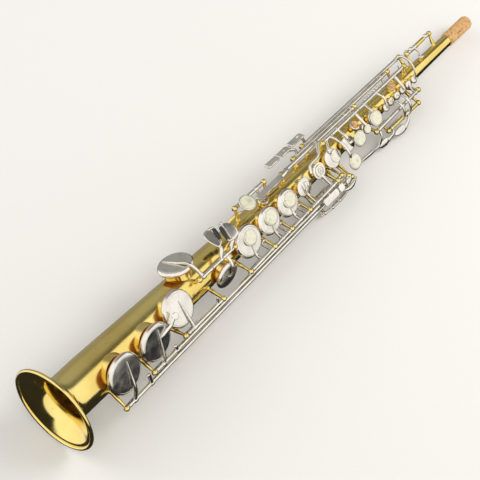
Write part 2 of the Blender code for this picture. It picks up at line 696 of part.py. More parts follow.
def make_palm_keys():
    hinge = make_hinge("palm_F_key", "palm_outer", 459)
    arm = rod([line_point("palm_outer", 528.6), at(530, -33, cup_top("palm_F", False) - 0.5)], 1.2)
    stem = [line_point("palm_outer", 460.5), (460, -26, 8.0), (457, -30.5, 0.0)]
    lever = palm_lever(stem, (454, -31.4, -4.0), (430, -30.0, -6.0), 3.6)
    pieces = [hinge_tube("palm_outer", 458.8, 531.2), cup("palm_F", 8, False), arm, lever]
    fused("palm_F_key", "nickel", pieces, (), hinge)

    for name, x0, x1, lever_x, tip, root in (
        ("palm_D", 476.8, 502.7, 479.0, (457, -32.0, -3.4), (474, -33.6, -2.0)),
        ("palm_Eb", 503.3, 525.2, 507.0, (482, -34.6, -1.2), (501, -35.6, 0.0)),
    ):
        x, angle, *_ = HOLES[name]
        hinge = make_hinge(name + "_key", "palm_inner", x0)
        top = at(x, angle, cup_top(name, False) - 0.2)
        across = rod(
            [top, (x, -11.5, 16.8), (x + 0.5, -19.0, 17.2), (x + 1, -25.5, 11.5),
             line_point("palm_inner", max(x + 1, x0 + 1.5))],
            [1.2, 1.2, 1.2, 1.3, 1.4],
        )
        stem = [line_point("palm_inner", lever_x), (lever_x, -31.5, 2.5)]
        pieces = [hinge_tube("palm_inner", x0, x1), cup(name, 8, False), across]
        pieces.append(palm_lever(stem, root, tip, 3.4))
        fused(name + "_key", "nickel", pieces, (), hinge)


def make_octave_keys():
    hinge = make_hinge("neck_octave_key", "neck_octave", 560)
    top = at(571, 35, cup_top("neck_octave", False) - 0.4)
    arm = rod([line_point("neck_octave", 571), top.lerp(line_point("neck_octave", 571), 0.5), top],
              [1.3, 1.2, 1.0])
    tail = rod([line_point("neck_octave", 563), (563, 20.5, 4.0), (563, 19.0, -1.0)], 1.2)
    pieces = [hinge_tube("neck_octave", 560.3, 596.7), arm, tail, cup("neck_octave", 8, False)]
    fused("neck_octave_key", "nickel", pieces, (), hinge)

    hinge = make_hinge("octave_thumb_key", "octave_lever", 446)
    touch = rod([(444, 1.5, -17.4), (449, 0.0, -17.8), (455, -1.0, -17.6)], [2.4, 3.2, 2.4], 2)
    stem = rod([line_point("octave_lever", 451), (450, 3, -17.6)], 1.5)
    tail = rod([line_point("octave_lever", 550), (553, 15.0, -9.0)], 1.2)
    pieces = [hinge_tube("octave_lever", 445.8, 552.2), touch, stem, tail]
    fused("octave_thumb_key", "nickel", pieces, (), hinge)

    hinge = make_hinge("body_octave_key", "body_octave", 493)
    arm = rod([line_point("body_octave", 505), at(505, 172, cup_top("body_octave", False))], 1.2)
    pieces = [hinge_tube("body_octave", 492.8, 517.2), arm, cup("body_octave", 8, False)]
    fused("body_octave_key", "nickel", pieces, (), hinge)


def make_left_pinky():
    for name, x0, x1, centre, length in (
        ("Gsharp_touch", 351.2, 375.0, 359.0, 23), ("low_Csharp_touch", 375.6, 388.4, 376.0, 8.0),
    ):
        hinge = make_hinge(name, "left_pinky", x0)
        root = line_point("left_pinky", max(centre, x0 + 1.8))
        stem = rod([root, (root.x, -28.2, 10.0), (centre, -31.8, 12.4)], 1.3)
        top = plate(rounded_outline(length, 7.5, 1.6), 1.4, plate_frame((centre, -34.6, 12.6), -18))
        fused(name, "nickel", [hinge_tube("left_pinky", x0, x1), stem, top], (), hinge)


def main():
    clear_scene()
    collection = bpy.data.collections.new("soprano_saxophone")
    bpy.context.scene.collection.children.link(collection)
    make_materials()
    instrument = link(bpy.data.objects.new("instrument", None))
    instrument.matrix_world = Matrix.Identity(4)
    make_body()
    make_bell()
    make_cork()
    make_fittings()
    make_posts()
    make_bell_keys()
    make_right_pinky()
    make_lower_stack()
    make_upper_stack()
    make_side_keys()
    make_palm_keys()
    make_octave_keys()
    make_left_pinky()
    lay_down(instrument)


def lay_down(instrument):
    """Turns the instrument to how it rests, with its box's bottom centre at the origin."""
    pitch = Matrix.Rotation(math.radians(PITCH), 4, "Y")
    roll = Matrix.Rotation(math.radians(ROLL), 4, "X")
    instrument.matrix_world = pitch @ roll
    bpy.context.view_layer.update()
    corners = [
        obj.matrix_world @ vert.co
        for obj in bpy.data.collections["soprano_saxophone"].objects
        for vert in obj.data.vertices
    ]
    low = [min(point[axis] for point in corners) for axis in range(3)]
    high = [max(point[axis] for point in corners) for axis in range(3)]
    shift = Vector(((low[0] + high[0]) / 2, (low[1] + high[1]) / 2, low[2]))
    instrument.matrix_world = Matrix.Translation(-shift) @ pitch @ roll
    bpy.context.view_layer.update()


main()
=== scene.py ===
"""The looks of a straight soprano saxophone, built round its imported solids.

Shapes are made in millimetres in the instrument's own frame: +X from the bell's mouth to the cork,
an angle counted from the front of the tube towards the player's right, and a radius from the tube's
axis. piece() turns a key to where it stands at rest and lays everything in the row frame.
"""

import json
import math

import bmesh
import bpy
from mathutils import Matrix, Vector

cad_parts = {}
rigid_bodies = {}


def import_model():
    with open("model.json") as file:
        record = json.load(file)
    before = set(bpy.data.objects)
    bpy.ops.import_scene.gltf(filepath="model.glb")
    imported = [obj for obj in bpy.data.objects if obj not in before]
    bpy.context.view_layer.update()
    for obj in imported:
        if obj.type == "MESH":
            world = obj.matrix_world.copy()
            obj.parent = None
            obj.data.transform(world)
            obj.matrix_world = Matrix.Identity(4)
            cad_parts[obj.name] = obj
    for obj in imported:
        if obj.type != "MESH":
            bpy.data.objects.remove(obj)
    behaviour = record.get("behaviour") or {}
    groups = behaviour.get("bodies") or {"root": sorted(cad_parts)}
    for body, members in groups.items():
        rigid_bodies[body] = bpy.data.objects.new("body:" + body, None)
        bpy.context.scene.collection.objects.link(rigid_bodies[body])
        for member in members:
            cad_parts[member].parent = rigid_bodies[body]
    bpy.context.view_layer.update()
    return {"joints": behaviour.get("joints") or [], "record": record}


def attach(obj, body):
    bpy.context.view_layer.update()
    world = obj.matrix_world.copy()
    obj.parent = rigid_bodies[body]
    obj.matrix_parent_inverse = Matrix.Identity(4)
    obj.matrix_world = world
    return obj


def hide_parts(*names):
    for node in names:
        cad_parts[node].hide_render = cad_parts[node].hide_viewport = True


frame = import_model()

# ---------------------------------------------------------------- driving dimensions, in mm

MM = 0.001
TOTAL_LENGTH = 660.0
BELL_RADIUS = 44.8
BELL_LENGTH = 46.0
RIM_WIRE = 1.8
TUBE_END = 655.0
CORK_START = 620.0
CORK_RADIUS = 7.7
CORK_FACE = 6.9
WALL = 0.9
OVERCUT = 3.0
TAPER = ((46.0, 22.1), (230.0, 16.0), (570.0, 7.3), (620.0, 6.4), (TUBE_END, 6.2))
GAP = 0.3
ROLL = 25.1
PITCH = 2.58
HINGE_TUBE = 1.9
HINGE_ROD = 0.95
HINGE_BORE = 1.15
POST_BALL = 2.9
POST_WIDTH = 4.4
FOOT_RADIUS = 2.4
FOOT_STEP = 3
SLIM_POST = 0.7
PAD_THICKNESS = 3.0
PAD_PROUD = 1.5
DEEP_CUP_TOP = 4.8
CUP_TOP = 4.2
FLAT_CUP_TOP = 2.4
CUP_WALL = 0.9
CHIMNEY_WALL = 0.8
PEARL_RADIUS = 7.4
HOLDER_RADIUS = 8.6
PEARL_THICKNESS = 1.6

# Tone holes: place along the tube, angle, radius of the rim's plane, bore, radius of the key's cup.
HOLES = {
    "low_Bb": (62.0, -37.0, 24.6, 15.2, 20.0),
    "low_B": (106.0, -39.0, 23.2, 14.8, 19.0),
    "low_C": (143.5, -22.0, 21.9, 13.6, 18.2),
    "low_Csharp": (178.0, 56.0, 20.4, 12.2, 17.6),
    "Eb": (214.0, -60.0, 19.2, 10.4, 14.2),
    "D": (250.0, -27.0, 18.2, 11.4, 16.6),
    "E": (283.0, -27.0, 17.2, 9.8, 14.3),
    "F": (313.0, -28.0, 16.4, 9.4, 14.1),
    "Fsharp": (341.5, -31.0, 15.6, 7.2, 10.0),
    "Gsharp": (369.0, -27.0, 14.8, 6.2, 8.7),
    "G": (390.0, -26.0, 14.2, 7.2, 10.0),
    "A": (418.0, -29.0, 13.3, 6.0, 8.5),
    "bis": (448.0, -33.0, 12.3, 3.4, 5.3),
    "B": (465.0, -29.0, 12.0, 5.6, 8.2),
    "upper_C": (487.0, -35.0, 11.2, 3.0, 4.6),
    "palm_D": (498.4, -33.0, 10.9, 3.0, 4.6),
    "palm_Eb": (509.6, -33.0, 10.7, 3.0, 4.6),
    "front_F": (520.4, -33.0, 10.4, 2.9, 4.6),
    "palm_F": (531.2, -33.0, 10.1, 2.8, 4.5),
    "high_E": (542.0, -33.0, 9.9, 2.8, 4.5),
    "side_Bb": (439.5, 5.0, 12.9, 3.7, 5.4),
    "side_C": (511.0, 20.0, 10.8, 2.8, 4.2),
    "Fsharp_trill": (297.0, 30.0, 16.4, 3.9, 5.4),
    "body_octave": (505.0, 172.0, 11.6, 1.2, 3.0),
    "neck_octave": (571.0, 35.0, 9.6, 1.2, 3.0),
}
DEEP_CUPS = ("low_Bb", "low_B", "low_C", "low_Csharp")
HOLLOW_CUPS = (*DEEP_CUPS, "Eb", "D", "E", "F")

# Past this place three hinge lines run close together, so their posts are slim.
CROWDED_FROM = 350.0
CROWDED_LINES = ("left_pinky", "low_B", "low_Bb")

OPEN_AT_REST = (
    "low_Bb_key", "low_B_key", "low_C_key", "low_Csharp_key", "D_key", "E_key", "F_key",
    "Fsharp_key", "G_key", "A_key", "bis_key", "B_key",
)
TUBE_AXIS = ((0, 0, 0), (1, 0, 0))

# The key from whose joint each hinge line is read.
LINE_KEYS = {
    "low_Bb": "low_Bb_key", "low_B": "low_B_key", "low_C": "low_C_key", "right_pinky": "Eb_key",
    "lower_stack": "D_key", "left_pinky": "Gsharp_touch", "upper_stack": "G_key",
    "side_Bb": "side_Bb_key", "side_C": "side_C_key", "high_E": "high_E_key",
    "trill": "Fsharp_trill_key", "palm_outer": "palm_F_key", "palm_inner": "palm_D_key",
    "neck_octave": "neck_octave_key", "octave_lever": "octave_thumb_key",
    "body_octave": "body_octave_key",
}


# ---------------------------------------------------------------- the frame


def instrument_matrix():
    """From the instrument's frame in mm to the row frame in metres, found from the cork's mount."""
    pitch = Matrix.Rotation(math.radians(PITCH), 4, "Y")
    turn = pitch @ Matrix.Rotation(math.radians(ROLL), 4, "X") @ Matrix.Scale(MM, 4)
    face = turn @ Vector((TOTAL_LENGTH, 0.0, CORK_FACE))
    return Matrix.Translation(Vector(frame["record"]["mounts"][0]["pos_m"]) - face) @ turn


TO_ROW = instrument_matrix()
FROM_ROW = TO_ROW.inverted()
JOINTS = {joint["child"]: joint for joint in frame["joints"]}


def hinge_of(body):
    """A point of the body's hinge line and the line's direction, in the instrument's frame."""
    joint = JOINTS[body]
    along = (FROM_ROW.to_3x3() @ Vector(joint["axis"])).normalized()
    return FROM_ROW @ Vector(joint["pos_m"]), along


LINES = {line: hinge_of(body) for line, body in LINE_KEYS.items()}


def line_point(line, x):
    """The point of a hinge line at x."""
    point, along = LINES[line]
    return point + along * ((x - point.x) / along.x)


def placing(body):
    """Takes a key from where it closes its hole to where it stands at rest, in the row frame."""
    if body not in OPEN_AT_REST:
        return TO_ROW
    point, along = hinge_of(body)
    opening = -math.radians(sum(JOINTS[body]["range_deg"]))
    turn = Matrix.Translation(point) @ Matrix.Rotation(opening, 4, along)
    return TO_ROW @ turn @ Matrix.Translation(-point)


def tube_radius(x):
    """The tube's outside radius, between the stations of its taper."""
    if x <= TAPER[0][0]:
        return TAPER[0][1]
    for (x0, r0), (x1, r1) in zip(TAPER, TAPER[1:]):
        if x <= x1:
            return r0 + (r1 - r0) * (x - x0) / (x1 - x0)
    return TAPER[-1][1]


def outward(angle):
    """Straight out from the tube's axis."""
    a = math.radians(angle)
    return Vector((0.0, math.sin(a), math.cos(a)))


def sideways(angle):
    """Along the tube's surface, square to its axis, towards growing angles."""
    a = math.radians(angle)
    return Vector((0.0, math.cos(a), -math.sin(a)))


def at(x, angle, radius):
    """The point at a place along the tube, an angle round it and a radius from its axis."""
    return Vector((x, 0.0, 0.0)) + outward(angle) * radius


def cup_depth(hole):
    """The height of a cup's top over the plane of its tone hole's rim."""
    if hole in DEEP_CUPS:
        return DEEP_CUP_TOP
    return CUP_TOP if hole in HOLLOW_CUPS else FLAT_CUP_TOP


def cup_top(hole):
    """The radius, from the tube's axis, of the top of a closed cup."""
    return HOLES[hole][2] + GAP + cup_depth(hole)


# ---------------------------------------------------------------- materials


def new_material(name, colour, metallic=0.0, coat=0.0):
    """A material with its shader, and the object's own coordinates to drive its pattern."""
    material = bpy.data.materials.new(name)
    material.use_nodes = True
    tree = material.node_tree
    shader = tree.nodes["Principled BSDF"]
    shader.inputs["Base Color"].default_value = (*colour, 1.0)
    shader.inputs["Metallic"].default_value = metallic
    shader.inputs["Coat Weight"].default_value = coat
    shader.inputs["Coat Roughness"].default_value = 0.06
    return tree, shader, tree.nodes.new("ShaderNodeTexCoord").outputs["Object"]


def noise(tree, where, scale, detail=3.0, stretch=(1.0, 1.0, 1.0), distortion=0.0):
    """A noise whose cells are about 1 / scale metres, longer where stretch is below 1."""
    mapping = tree.nodes.new("ShaderNodeMapping")
    mapping.inputs["Scale"].default_value = stretch
    tree.links.new(where, mapping.inputs["Vector"])
    texture = tree.nodes.new("ShaderNodeTexNoise")
    texture.inputs["Scale"].default_value = scale
    texture.inputs["Detail"].default_value = detail
    texture.inputs["Distortion"].default_value = distortion
    tree.links.new(mapping.outputs["Vector"], texture.inputs["Vector"])
    return texture.outputs["Fac"]


def ramp(tree, value, stops):
    """Colours, or greys, spread over value by (place, colour) stops."""
    node = tree.nodes.new("ShaderNodeValToRGB")
    elements = node.color_ramp.elements
    while len(elements) < len(stops):
        elements.new(0.5)
    for element, (place, colour) in zip(elements, stops):
        element.position = place
        element.color = (*colour, 1.0) if hasattr(colour, "__len__") else (*[colour] * 3, 1.0)
    tree.links.new(value, node.inputs["Fac"])
    return node.outputs["Color"]


def mix(tree, factor, first, second):
    """first where factor is 0 and second, a socket or a colour, where it is 1."""
    node = tree.nodes.new("ShaderNodeMix")
    node.data_type = "RGBA"
    tree.links.new(factor, node.inputs["Factor"])
    tree.links.new(first, node.inputs["A"])
    if hasattr(second, "links"):
        tree.links.new(second, node.inputs["B"])
    else:
        node.inputs["B"].default_value = (*second, 1.0)
    return node.outputs["Result"]


def bump(tree, shader, layers):
    """Stacks (height, depth in metres) layers of bump on the shader."""
    normal = None
    for height, depth in layers:
        node = tree.nodes.new("ShaderNodeBump")
        node.inputs["Strength"].default_value = 1.0
        node.inputs["Distance"].default_value = depth
        tree.links.new(height, node.inputs["Height"])
        if normal:
            tree.links.new(normal, node.inputs["Normal"])
        normal = node.outputs["Normal"]
    drive(shader, "Normal", normal)


def drive(shader, name, value):
    """Links value to the shader's input of that name."""
    shader.id_data.links.new(value, shader.inputs[name])


def brass_material():
    """Lacquered brass: deeper patches, brown specks under the lacquer, fine wiping scratches."""
    tree, shader, where = new_material("lacquered_brass", (0.86, 0.68, 0.22), 1.0, 0.25)
    tones = [(0.35, (0.80, 0.60, 0.17)), (0.65, (0.88, 0.72, 0.25))]
    patches = ramp(tree, noise(tree, where, 28, 4), tones)
    specks = ramp(tree, noise(tree, where, 520, 2), [(0.70, 0.0), (0.78, 0.75)])
    aged = mix(tree, specks, patches, (0.30, 0.15, 0.04))
    drive(shader, "Base Color", aged)
    cloud = noise(tree, where, 60, 5)
    drive(shader, "Roughness", ramp(tree, cloud, [(0.3, 0.10), (0.7, 0.22)]))
    scratches = noise(tree, where, 900, 2, (0.06, 1.0, 1.0))
    bump(tree, shader, [(noise(tree, where, 45, 2), 0.00012), (scratches, 0.000012)])


def nickel_material():
    """Nickel plating: slightly warm, with dull fingered patches and fine scratches."""
    tree, shader, where = new_material("nickel_plate", (0.76, 0.73, 0.66), 1.0)
    worn = ramp(tree, noise(tree, where, 75, 5), [(0.35, (0.71, 0.68, 0.61)), (0.6, (0.83, 0.80, 0.73))])
    pits = ramp(tree, noise(tree, where, 700, 2), [(0.72, 0.0), (0.8, 0.5)])
    drive(shader, "Base Color", mix(tree, pits, worn, (0.25, 0.21, 0.16)))
    cloud = noise(tree, where, 110, 5)
    drive(shader, "Roughness", ramp(tree, cloud, [(0.3, 0.11), (0.7, 0.26)]))
    scratches = noise(tree, where, 1100, 2, (0.3, 1.0, 0.3))
    bump(tree, shader, [(noise(tree, where, 70, 2), 0.00004), (scratches, 0.00001)])


def pearl_material():
    """Mother-of-pearl: cream and green layers that swirl, under a polish."""
    tree, shader, where = new_material("mother_of_pearl", (0.56, 0.56, 0.42), 0.0, 0.5)
    swirl = noise(tree, where, 130, 4, (1.0, 0.6, 1.0), 2.5)
    layers = [
        (0.30, (0.34, 0.38, 0.24)), (0.45, (0.56, 0.56, 0.40)), (0.58, (0.64, 0.60, 0.50)),
        (0.75, (0.44, 0.50, 0.38)),
    ]
    drive(shader, "Base Color", ramp(tree, swirl, layers))
    drive(shader, "Roughness", ramp(tree, swirl, [(0.3, 0.12), (0.7, 0.28)]))
    shader.inputs["Specular IOR Level"].default_value = 0.7
    bump(tree, shader, [(swirl, 0.00004)])


def leather_material():
    """Tan pad leather, darker where it is handled, with its grain."""
    tree, shader, where = new_material("pad_leather", (0.46, 0.19, 0.06))
    stain = ramp(tree, noise(tree, where, 120, 4), [(0.3, (0.40, 0.14, 0.035)), (0.7, (0.66, 0.30, 0.10))])
    drive(shader, "Base Color", stain)
    grain = noise(tree, where, 1800, 4)
    drive(shader, "Roughness", ramp(tree, grain, [(0.3, 0.5), (0.7, 0.75)]))
    bump(tree, shader, [(grain, 0.00012)])


def cork_material():
    """Cork: tan cells with dark flecks and pits."""
    tree, shader, where = new_material("natural_cork", (0.62, 0.42, 0.24))
    cells = tree.nodes.new("ShaderNodeTexVoronoi")
    cells.inputs["Scale"].default_value = 1100
    tree.links.new(where, cells.inputs["Vector"])
    body = ramp(tree, noise(tree, where, 330, 5), [(0.3, (0.42, 0.22, 0.08)), (0.7, (0.62, 0.39, 0.17))])
    flecks = ramp(tree, noise(tree, where, 620, 3, (0.5, 1.0, 1.0)), [(0.60, 0.0), (0.68, 0.9)])
    drive(shader, "Base Color", mix(tree, flecks, body, (0.14, 0.05, 0.02)))
    shader.inputs["Roughness"].default_value = 0.85
    bump(tree, shader, [(cells.outputs["Distance"], 0.00018), (flecks, 0.0002)])


def plain_material(name, colour, metallic, low, high, scale):
    """A material whose tone and gloss vary a little."""
    tree, shader, where = new_material(name, colour, metallic)
    cloud = noise(tree, where, scale, 4)
    dark = tuple(0.7 * part for part in colour)
    drive(shader, "Base Color", ramp(tree, cloud, [(0.3, dark), (0.7, colour)]))
    drive(shader, "Roughness", ramp(tree, cloud, [(0.3, low), (0.7, high)]))
    bump(tree, shader, [(noise(tree, where, scale * 6, 3), 0.00003)])


def floor_material():
    """A pale matt sheet with the faintest tooth."""
    tree, shader, where = new_material("pale_floor", (0.72, 0.71, 0.69))
    tooth = noise(tree, where, 900, 3)
    tones = [(0.3, (0.70, 0.69, 0.67)), (0.7, (0.74, 0.73, 0.71))]
    drive(shader, "Base Color", ramp(tree, tooth, tones))
    shader.inputs["Roughness"].default_value = 0.8


def make_materials():
    """Every material of the instrument, and the floor's."""
    brass_material()
    nickel_material()
    pearl_material()
    leather_material()
    cork_material()
    plain_material("black_roller", (0.025, 0.024, 0.026), 0.0, 0.18, 0.32, 240)
    plain_material("blued_steel", (0.16, 0.18, 0.26), 1.0, 0.25, 0.4, 300)
    floor_material()


# ---------------------------------------------------------------- shapes


def facing(origin, direction):
    """Places a shape made round +Z at origin, with +Z along direction."""
    turn = Vector(direction).to_track_quat("Z", "Y").to_matrix().to_4x4()
    return Matrix.Translation(Vector(origin)) @ turn


def over(x, angle, height):
    """Places a flat shape at height over the tube: its X along it, its Y across, its Z outward."""
    rows = Matrix((Vector((1, 0, 0)), sideways(angle), outward(angle))).transposed()
    return Matrix.Translation(at(x, angle, height)) @ rows.to_4x4()


def leaning(middle, angle):
    """Places a flat shape with its middle at a point, facing outward at an angle."""
    return Matrix.Translation(middle) @ over(0, angle, 0)


def skin(rings, loop, matrix):
    """A closed mesh over rings of points; a ring of one point is a pole. loop joins last to first."""
    shape = bmesh.new()
    made = [[shape.verts.new(matrix @ Vector(point)) for point in ring] for ring in rings]
    pairs = list(zip(made, made[1:]))
    if loop:
        pairs.append((made[-1], made[0]))
    for one, two in pairs:
        count = max(len(one), len(two))
        for i in range(count):
            j = (i + 1) % count
            corners = [one[i % len(one)], one[j % len(one)], two[j % len(two)], two[i % len(two)]]
            kept = [v for k, v in enumerate(corners) if v not in corners[:k]]
            if len(kept) > 2:
                shape.faces.new(kept)
    for ring in (made[0], made[-1]):
        if not loop and len(ring) > 2:
            shape.faces.new(ring)
    bmesh.ops.recalc_face_normals(shape, faces=shape.faces)
    return shape


def soften(profile, closed):
    """A profile of (radius, height, fillet) corners, each rounded by its fillet."""
    points = []
    count = len(profile)
    steps = 4
    for i, (radius, height, fillet) in enumerate(profile):
        here = Vector((radius, height))
        if fillet == 0 or (not closed and i in (0, count - 1)):
            points.append(here)
            continue
        before = Vector(profile[i - 1][:2]) - here
        after = Vector(profile[(i + 1) % count][:2]) - here
        reach = min(fillet, before.length * 0.49, after.length * 0.49)
        start = here + before.normalized() * reach
        end = here + after.normalized() * reach
        for step in range(steps + 1):
            t = step / steps
            points.append(start * (1 - t) ** 2 + here * 2 * t * (1 - t) + end * t * t)
    return points


def turned(profile, origin, direction, sides=40):
    """A profile of (radius, height, fillet) corners turned about direction.

    It starts and ends on the axis, or closes on itself as the section of a ring.
    """
    solid = profile[0][0] == 0
    rings = []
    for radius, height in soften(profile, not solid):
        if radius < 1e-6:
            rings.append([(0.0, 0.0, height)])
            continue
        turns = [2 * math.pi * side / sides for side in range(sides)]
        rings.append([(radius * math.cos(a), radius * math.sin(a), height) for a in turns])
    return skin(rings, not solid, facing(origin, direction))


def ball(centre, radius):
    """A ball, turned from a half circle."""
    steps = [math.pi * step / 12 for step in range(13)]
    profile = [(radius * math.sin(a), radius * math.cos(a), 0) for a in steps]
    profile[0], profile[-1] = (0, radius, 0), (0, -radius, 0)
    return turned(profile, centre, (0, 0, 1), 24)


def smooth_path(points, steps):
    """A smooth curve through points of any dimension."""
    ends = [points[0] * 2 - points[1]] + list(points) + [points[-1] * 2 - points[-2]]
    path = []
    for a, b, c, d in zip(ends, ends[1:], ends[2:], ends[3:]):
        for step in range(steps):
            t = step / steps
            cubic = (b * 3 - a - c * 3 + d) * t ** 3
            square = (a * 2 - b * 5 + c * 4 - d) * t ** 2
            path.append((b * 2 + (c - a) * t + square + cubic) * 0.5)
    path.append(points[-1])
    return path


def bar(points, sizes, up=(0, 0, 1), steps=6, sides=14, square=1.0):
    """A bar along a smooth curve, with round ends.

    sizes are (half width, half height) at each point, or one radius for all. square is 1 for an
    oval section and less for one with flatter faces. up is the height's direction at the start.
    """
    if not hasattr(sizes, "__len__"):
        sizes = [sizes] * len(points)
    sizes = [size if hasattr(size, "__len__") else (size, size) for size in sizes]
    stations = [Vector((*Vector(point), *size)) for point, size in zip(points, sizes)]
    path = smooth_path(stations, steps)
    centres = [Vector(station[:3]) for station in path]
    tangents = [
        (centres[min(i + 1, len(centres) - 1)] - centres[max(i - 1, 0)]).normalized()
        for i in range(len(centres))
    ]
    height = Vector(up)
    rings = []
    for i, (centre, along, station) in enumerate(zip(centres, tangents, path)):
        height = (height - along * height.dot(along)).normalized()
        width = along.cross(height)
        rounds = [(1.0, 0.0)]
        if i == 0:
            rounds = [(0.35, -0.94), (0.72, -0.7), (0.94, -0.34), (1.0, 0.0)]
        if i == len(centres) - 1:
            rounds = [(1.0, 0.0), (0.94, 0.34), (0.72, 0.7), (0.35, 0.94)]
        half_width, half_height = max(station[3], 0.15), max(station[4], 0.15)
        for share, shift in rounds:
            middle = centre + along * shift * min(half_width, half_height)
            ring = []
            for side in range(sides):
                a = 2 * math.pi * side / sides
                across = math.copysign(abs(math.cos(a)) ** square, math.cos(a))
                rise = math.copysign(abs(math.sin(a)) ** square, math.sin(a))
                aside = width * across * half_width * share
                ring.append(middle + aside + height * rise * half_height * share)
            rings.append(ring)
    return skin(rings, False, Matrix.Identity(4))


def rounded_outline(length, width, corner):
    """A rectangle with round corners and a few points along its sides, in order round it."""
    points = []
    steps = 6
    for quarter, (sx, sy) in enumerate(((1, 1), (-1, 1), (-1, -1), (1, -1))):
        cx, cy = sx * (length / 2 - corner), sy * (width / 2 - corner)
        for step in range(steps + 1):
            turn = math.radians(90 * (quarter + step / steps))
            points.append((cx + corner * math.cos(turn), cy + corner * math.sin(turn)))
    dense = []
    for (x0, y0), (x1, y1) in zip(points, points[1:] + points[:1]):
        parts = max(1, round(math.hypot(x1 - x0, y1 - y0) / 2.0))
        dense += [(x0 + (x1 - x0) * k / parts, y0 + (y1 - y0) * k / parts) for k in range(parts)]
    return dense


def plate(outline, thickness, matrix, edge=0.45, crown=0.0, curl=0.0):
    """A plate with round edges, swollen by crown at its middle, its sides curled down by curl."""
    half = thickness / 2
    steps = 4
    turns = [math.pi * (step / steps - 0.5) for step in range(steps + 1)]
    rims = []
    for a in turns:
        level = half - edge if a > 0 else edge - half
        rims.append((edge * (1 - math.cos(a)), level + edge * math.sin(a)))
    shares = (0.0, 0.3, 0.6, 0.85)
    reach = max(math.hypot(x, y) for x, y in outline)

    def ring(share, inset, height):
        """The outline scaled by share, drawn in by inset and lifted to height."""
        points = []
        for x, y in outline:
            size = math.hypot(x, y)
            scale = share * (size - inset) / size
            px, py = x * scale, y * scale
            swell = crown * (1 - (math.hypot(px, py) / reach) ** 2) - curl * py * py
            points.append((px, py, height + swell))
        return points

    rings = [ring(share, edge, -half) for share in shares[1:]]
    rings += [ring(1.0, inset, height) for inset, height in rims]
    rings += [ring(share, edge, half) for share in reversed(shares[1:])]
    rings = [[(0, 0, crown - half)]] + rings + [[(0, 0, crown + half)]]
    return skin(rings, False, matrix)


def merged(shells):
    """One bmesh out of several, each of which is freed."""
    joined = bmesh.new()
    for shell in shells:
        mesh = bpy.data.meshes.new("shell")
        shell.to_mesh(mesh)
        shell.free()
        joined.from_mesh(mesh)
        bpy.data.meshes.remove(mesh)
    return joined


def piece(name, body, material, shells, replaces=(), sharp=38):
    """Makes shells one object of one material, which rides on body and hides the CAD nodes that it replaces.
    """
    joined = merged(shells)
    mesh = bpy.data.meshes.new(name)
    joined.to_mesh(mesh)
    joined.free()
    mesh.transform(placing(body))
    mesh.shade_smooth()
    mesh.set_sharp_from_angle(angle=math.radians(sharp))
    keep(name, mesh, body, material, replaces)


def keep(name, mesh, body, material, replaces=()):
    """Puts a finished mesh in the scene with its material, on its body, and hides the CAD nodes that it
    replaces.
    """
    mesh.materials.clear()
    mesh.materials.append(bpy.data.materials[material])
    obj = bpy.data.objects.new(name, mesh)
    bpy.context.scene.collection.objects.link(obj)
    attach(obj, body)
    if replaces:
        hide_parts(*replaces)


# ---------------------------------------------------------------- common fittings


def slotted_head(origin, direction, radius, height):
    """A screw's head: a low base with two half-round lands and a slot between them."""
    direction = Vector(direction).normalized()
    slot = radius * 0.16
    base = turned(
        [(0, 0, 0), (radius, 0, 0), (radius, height * 0.55, 0.1), (0, height * 0.55, 0)],
        origin, direction, 20,
    )
    lands = []
    place = facing(Vector(origin) + direction * height * 0.5, direction)
    start = math.asin(slot / radius)
    turns = [start + (math.pi - 2 * start) * step / 12 for step in range(13)]
    foot, crest = radius * 0.97, 0.93
    for sign in (1, -1):
        arc = [(foot * math.cos(a), sign * foot * math.sin(a)) for a in turns]
        low = [(x, y, 0.0) for x, y in arc]
        edge = slot * sign
        high = [(x * crest, edge + (y - edge) * crest, height * 0.5) for x, y in arc]
        lands.append(skin([low, high], False, place))
    return [base] + lands


def hinge_tube(line, x0, x1, radius=HINGE_TUBE):
    """A bored hinge tube with softened ends."""
    start, end = line_point(line, x0), line_point(line, x1)
    length = (end - start).length
    profile = [
        (HINGE_BORE, 0, 0.1), (radius, 0, 0.25), (radius, length, 0.25), (HINGE_BORE, length, 0.1),
    ]
    return turned(profile, start, end - start, 24)


def collar(line, x, width=3.0, radius=2.5):
    """The swelling of a hinge tube where an arm is soldered to it."""
    start = line_point(line, x - width / 2)
    along = line_point(line, x + width / 2) - start
    profile = [
        (HINGE_TUBE - 0.3, 0, 0), (radius - 0.25, 0, 0.3), (radius, width * 0.5, 0.8),
        (radius - 0.25, width, 0.3), (HINGE_TUBE - 0.3, width, 0),
    ]
    return turned(profile, start, along, 24)


def cup(hole):
    """A key cup: a flat top in a shallow groove, a broad rounded shoulder and a skirt over its pad."""
    x, angle, rim, _, radius = HOLES[hole]
    place = at(x, angle, rim + GAP), outward(angle)
    top = cup_depth(hole)
    if hole in HOLLOW_CUPS:
        profile = [
            (0, top, 0), (radius - 3.2, top, 0.2), (radius - 2.9, top - 0.22, 0.15),
            (radius - 2.5, top - 0.02, 0.2), (radius - 1.3, top - 0.45, 0.7),
            (radius - 0.25, top - 1.9, 1.0), (radius, PAD_PROUD + 0.5, 0.2), (radius, PAD_PROUD, 0.15),
            (radius - CUP_WALL, PAD_PROUD, 0.15), (radius - CUP_WALL, top - 1.2, 0.3), (0, top - 1.1, 0),
        ]
        return turned(profile, *place, 72)
    profile = [
        (0, top + 0.1, 0), (radius * 0.68, top, 0.3), (radius - 0.35, top - 0.45, 0.5),
        (radius, 1.3, 0.3), (radius, 0.9, 0.12), (0, 0.9, 0),
    ]
    return turned(profile, *place, 48)


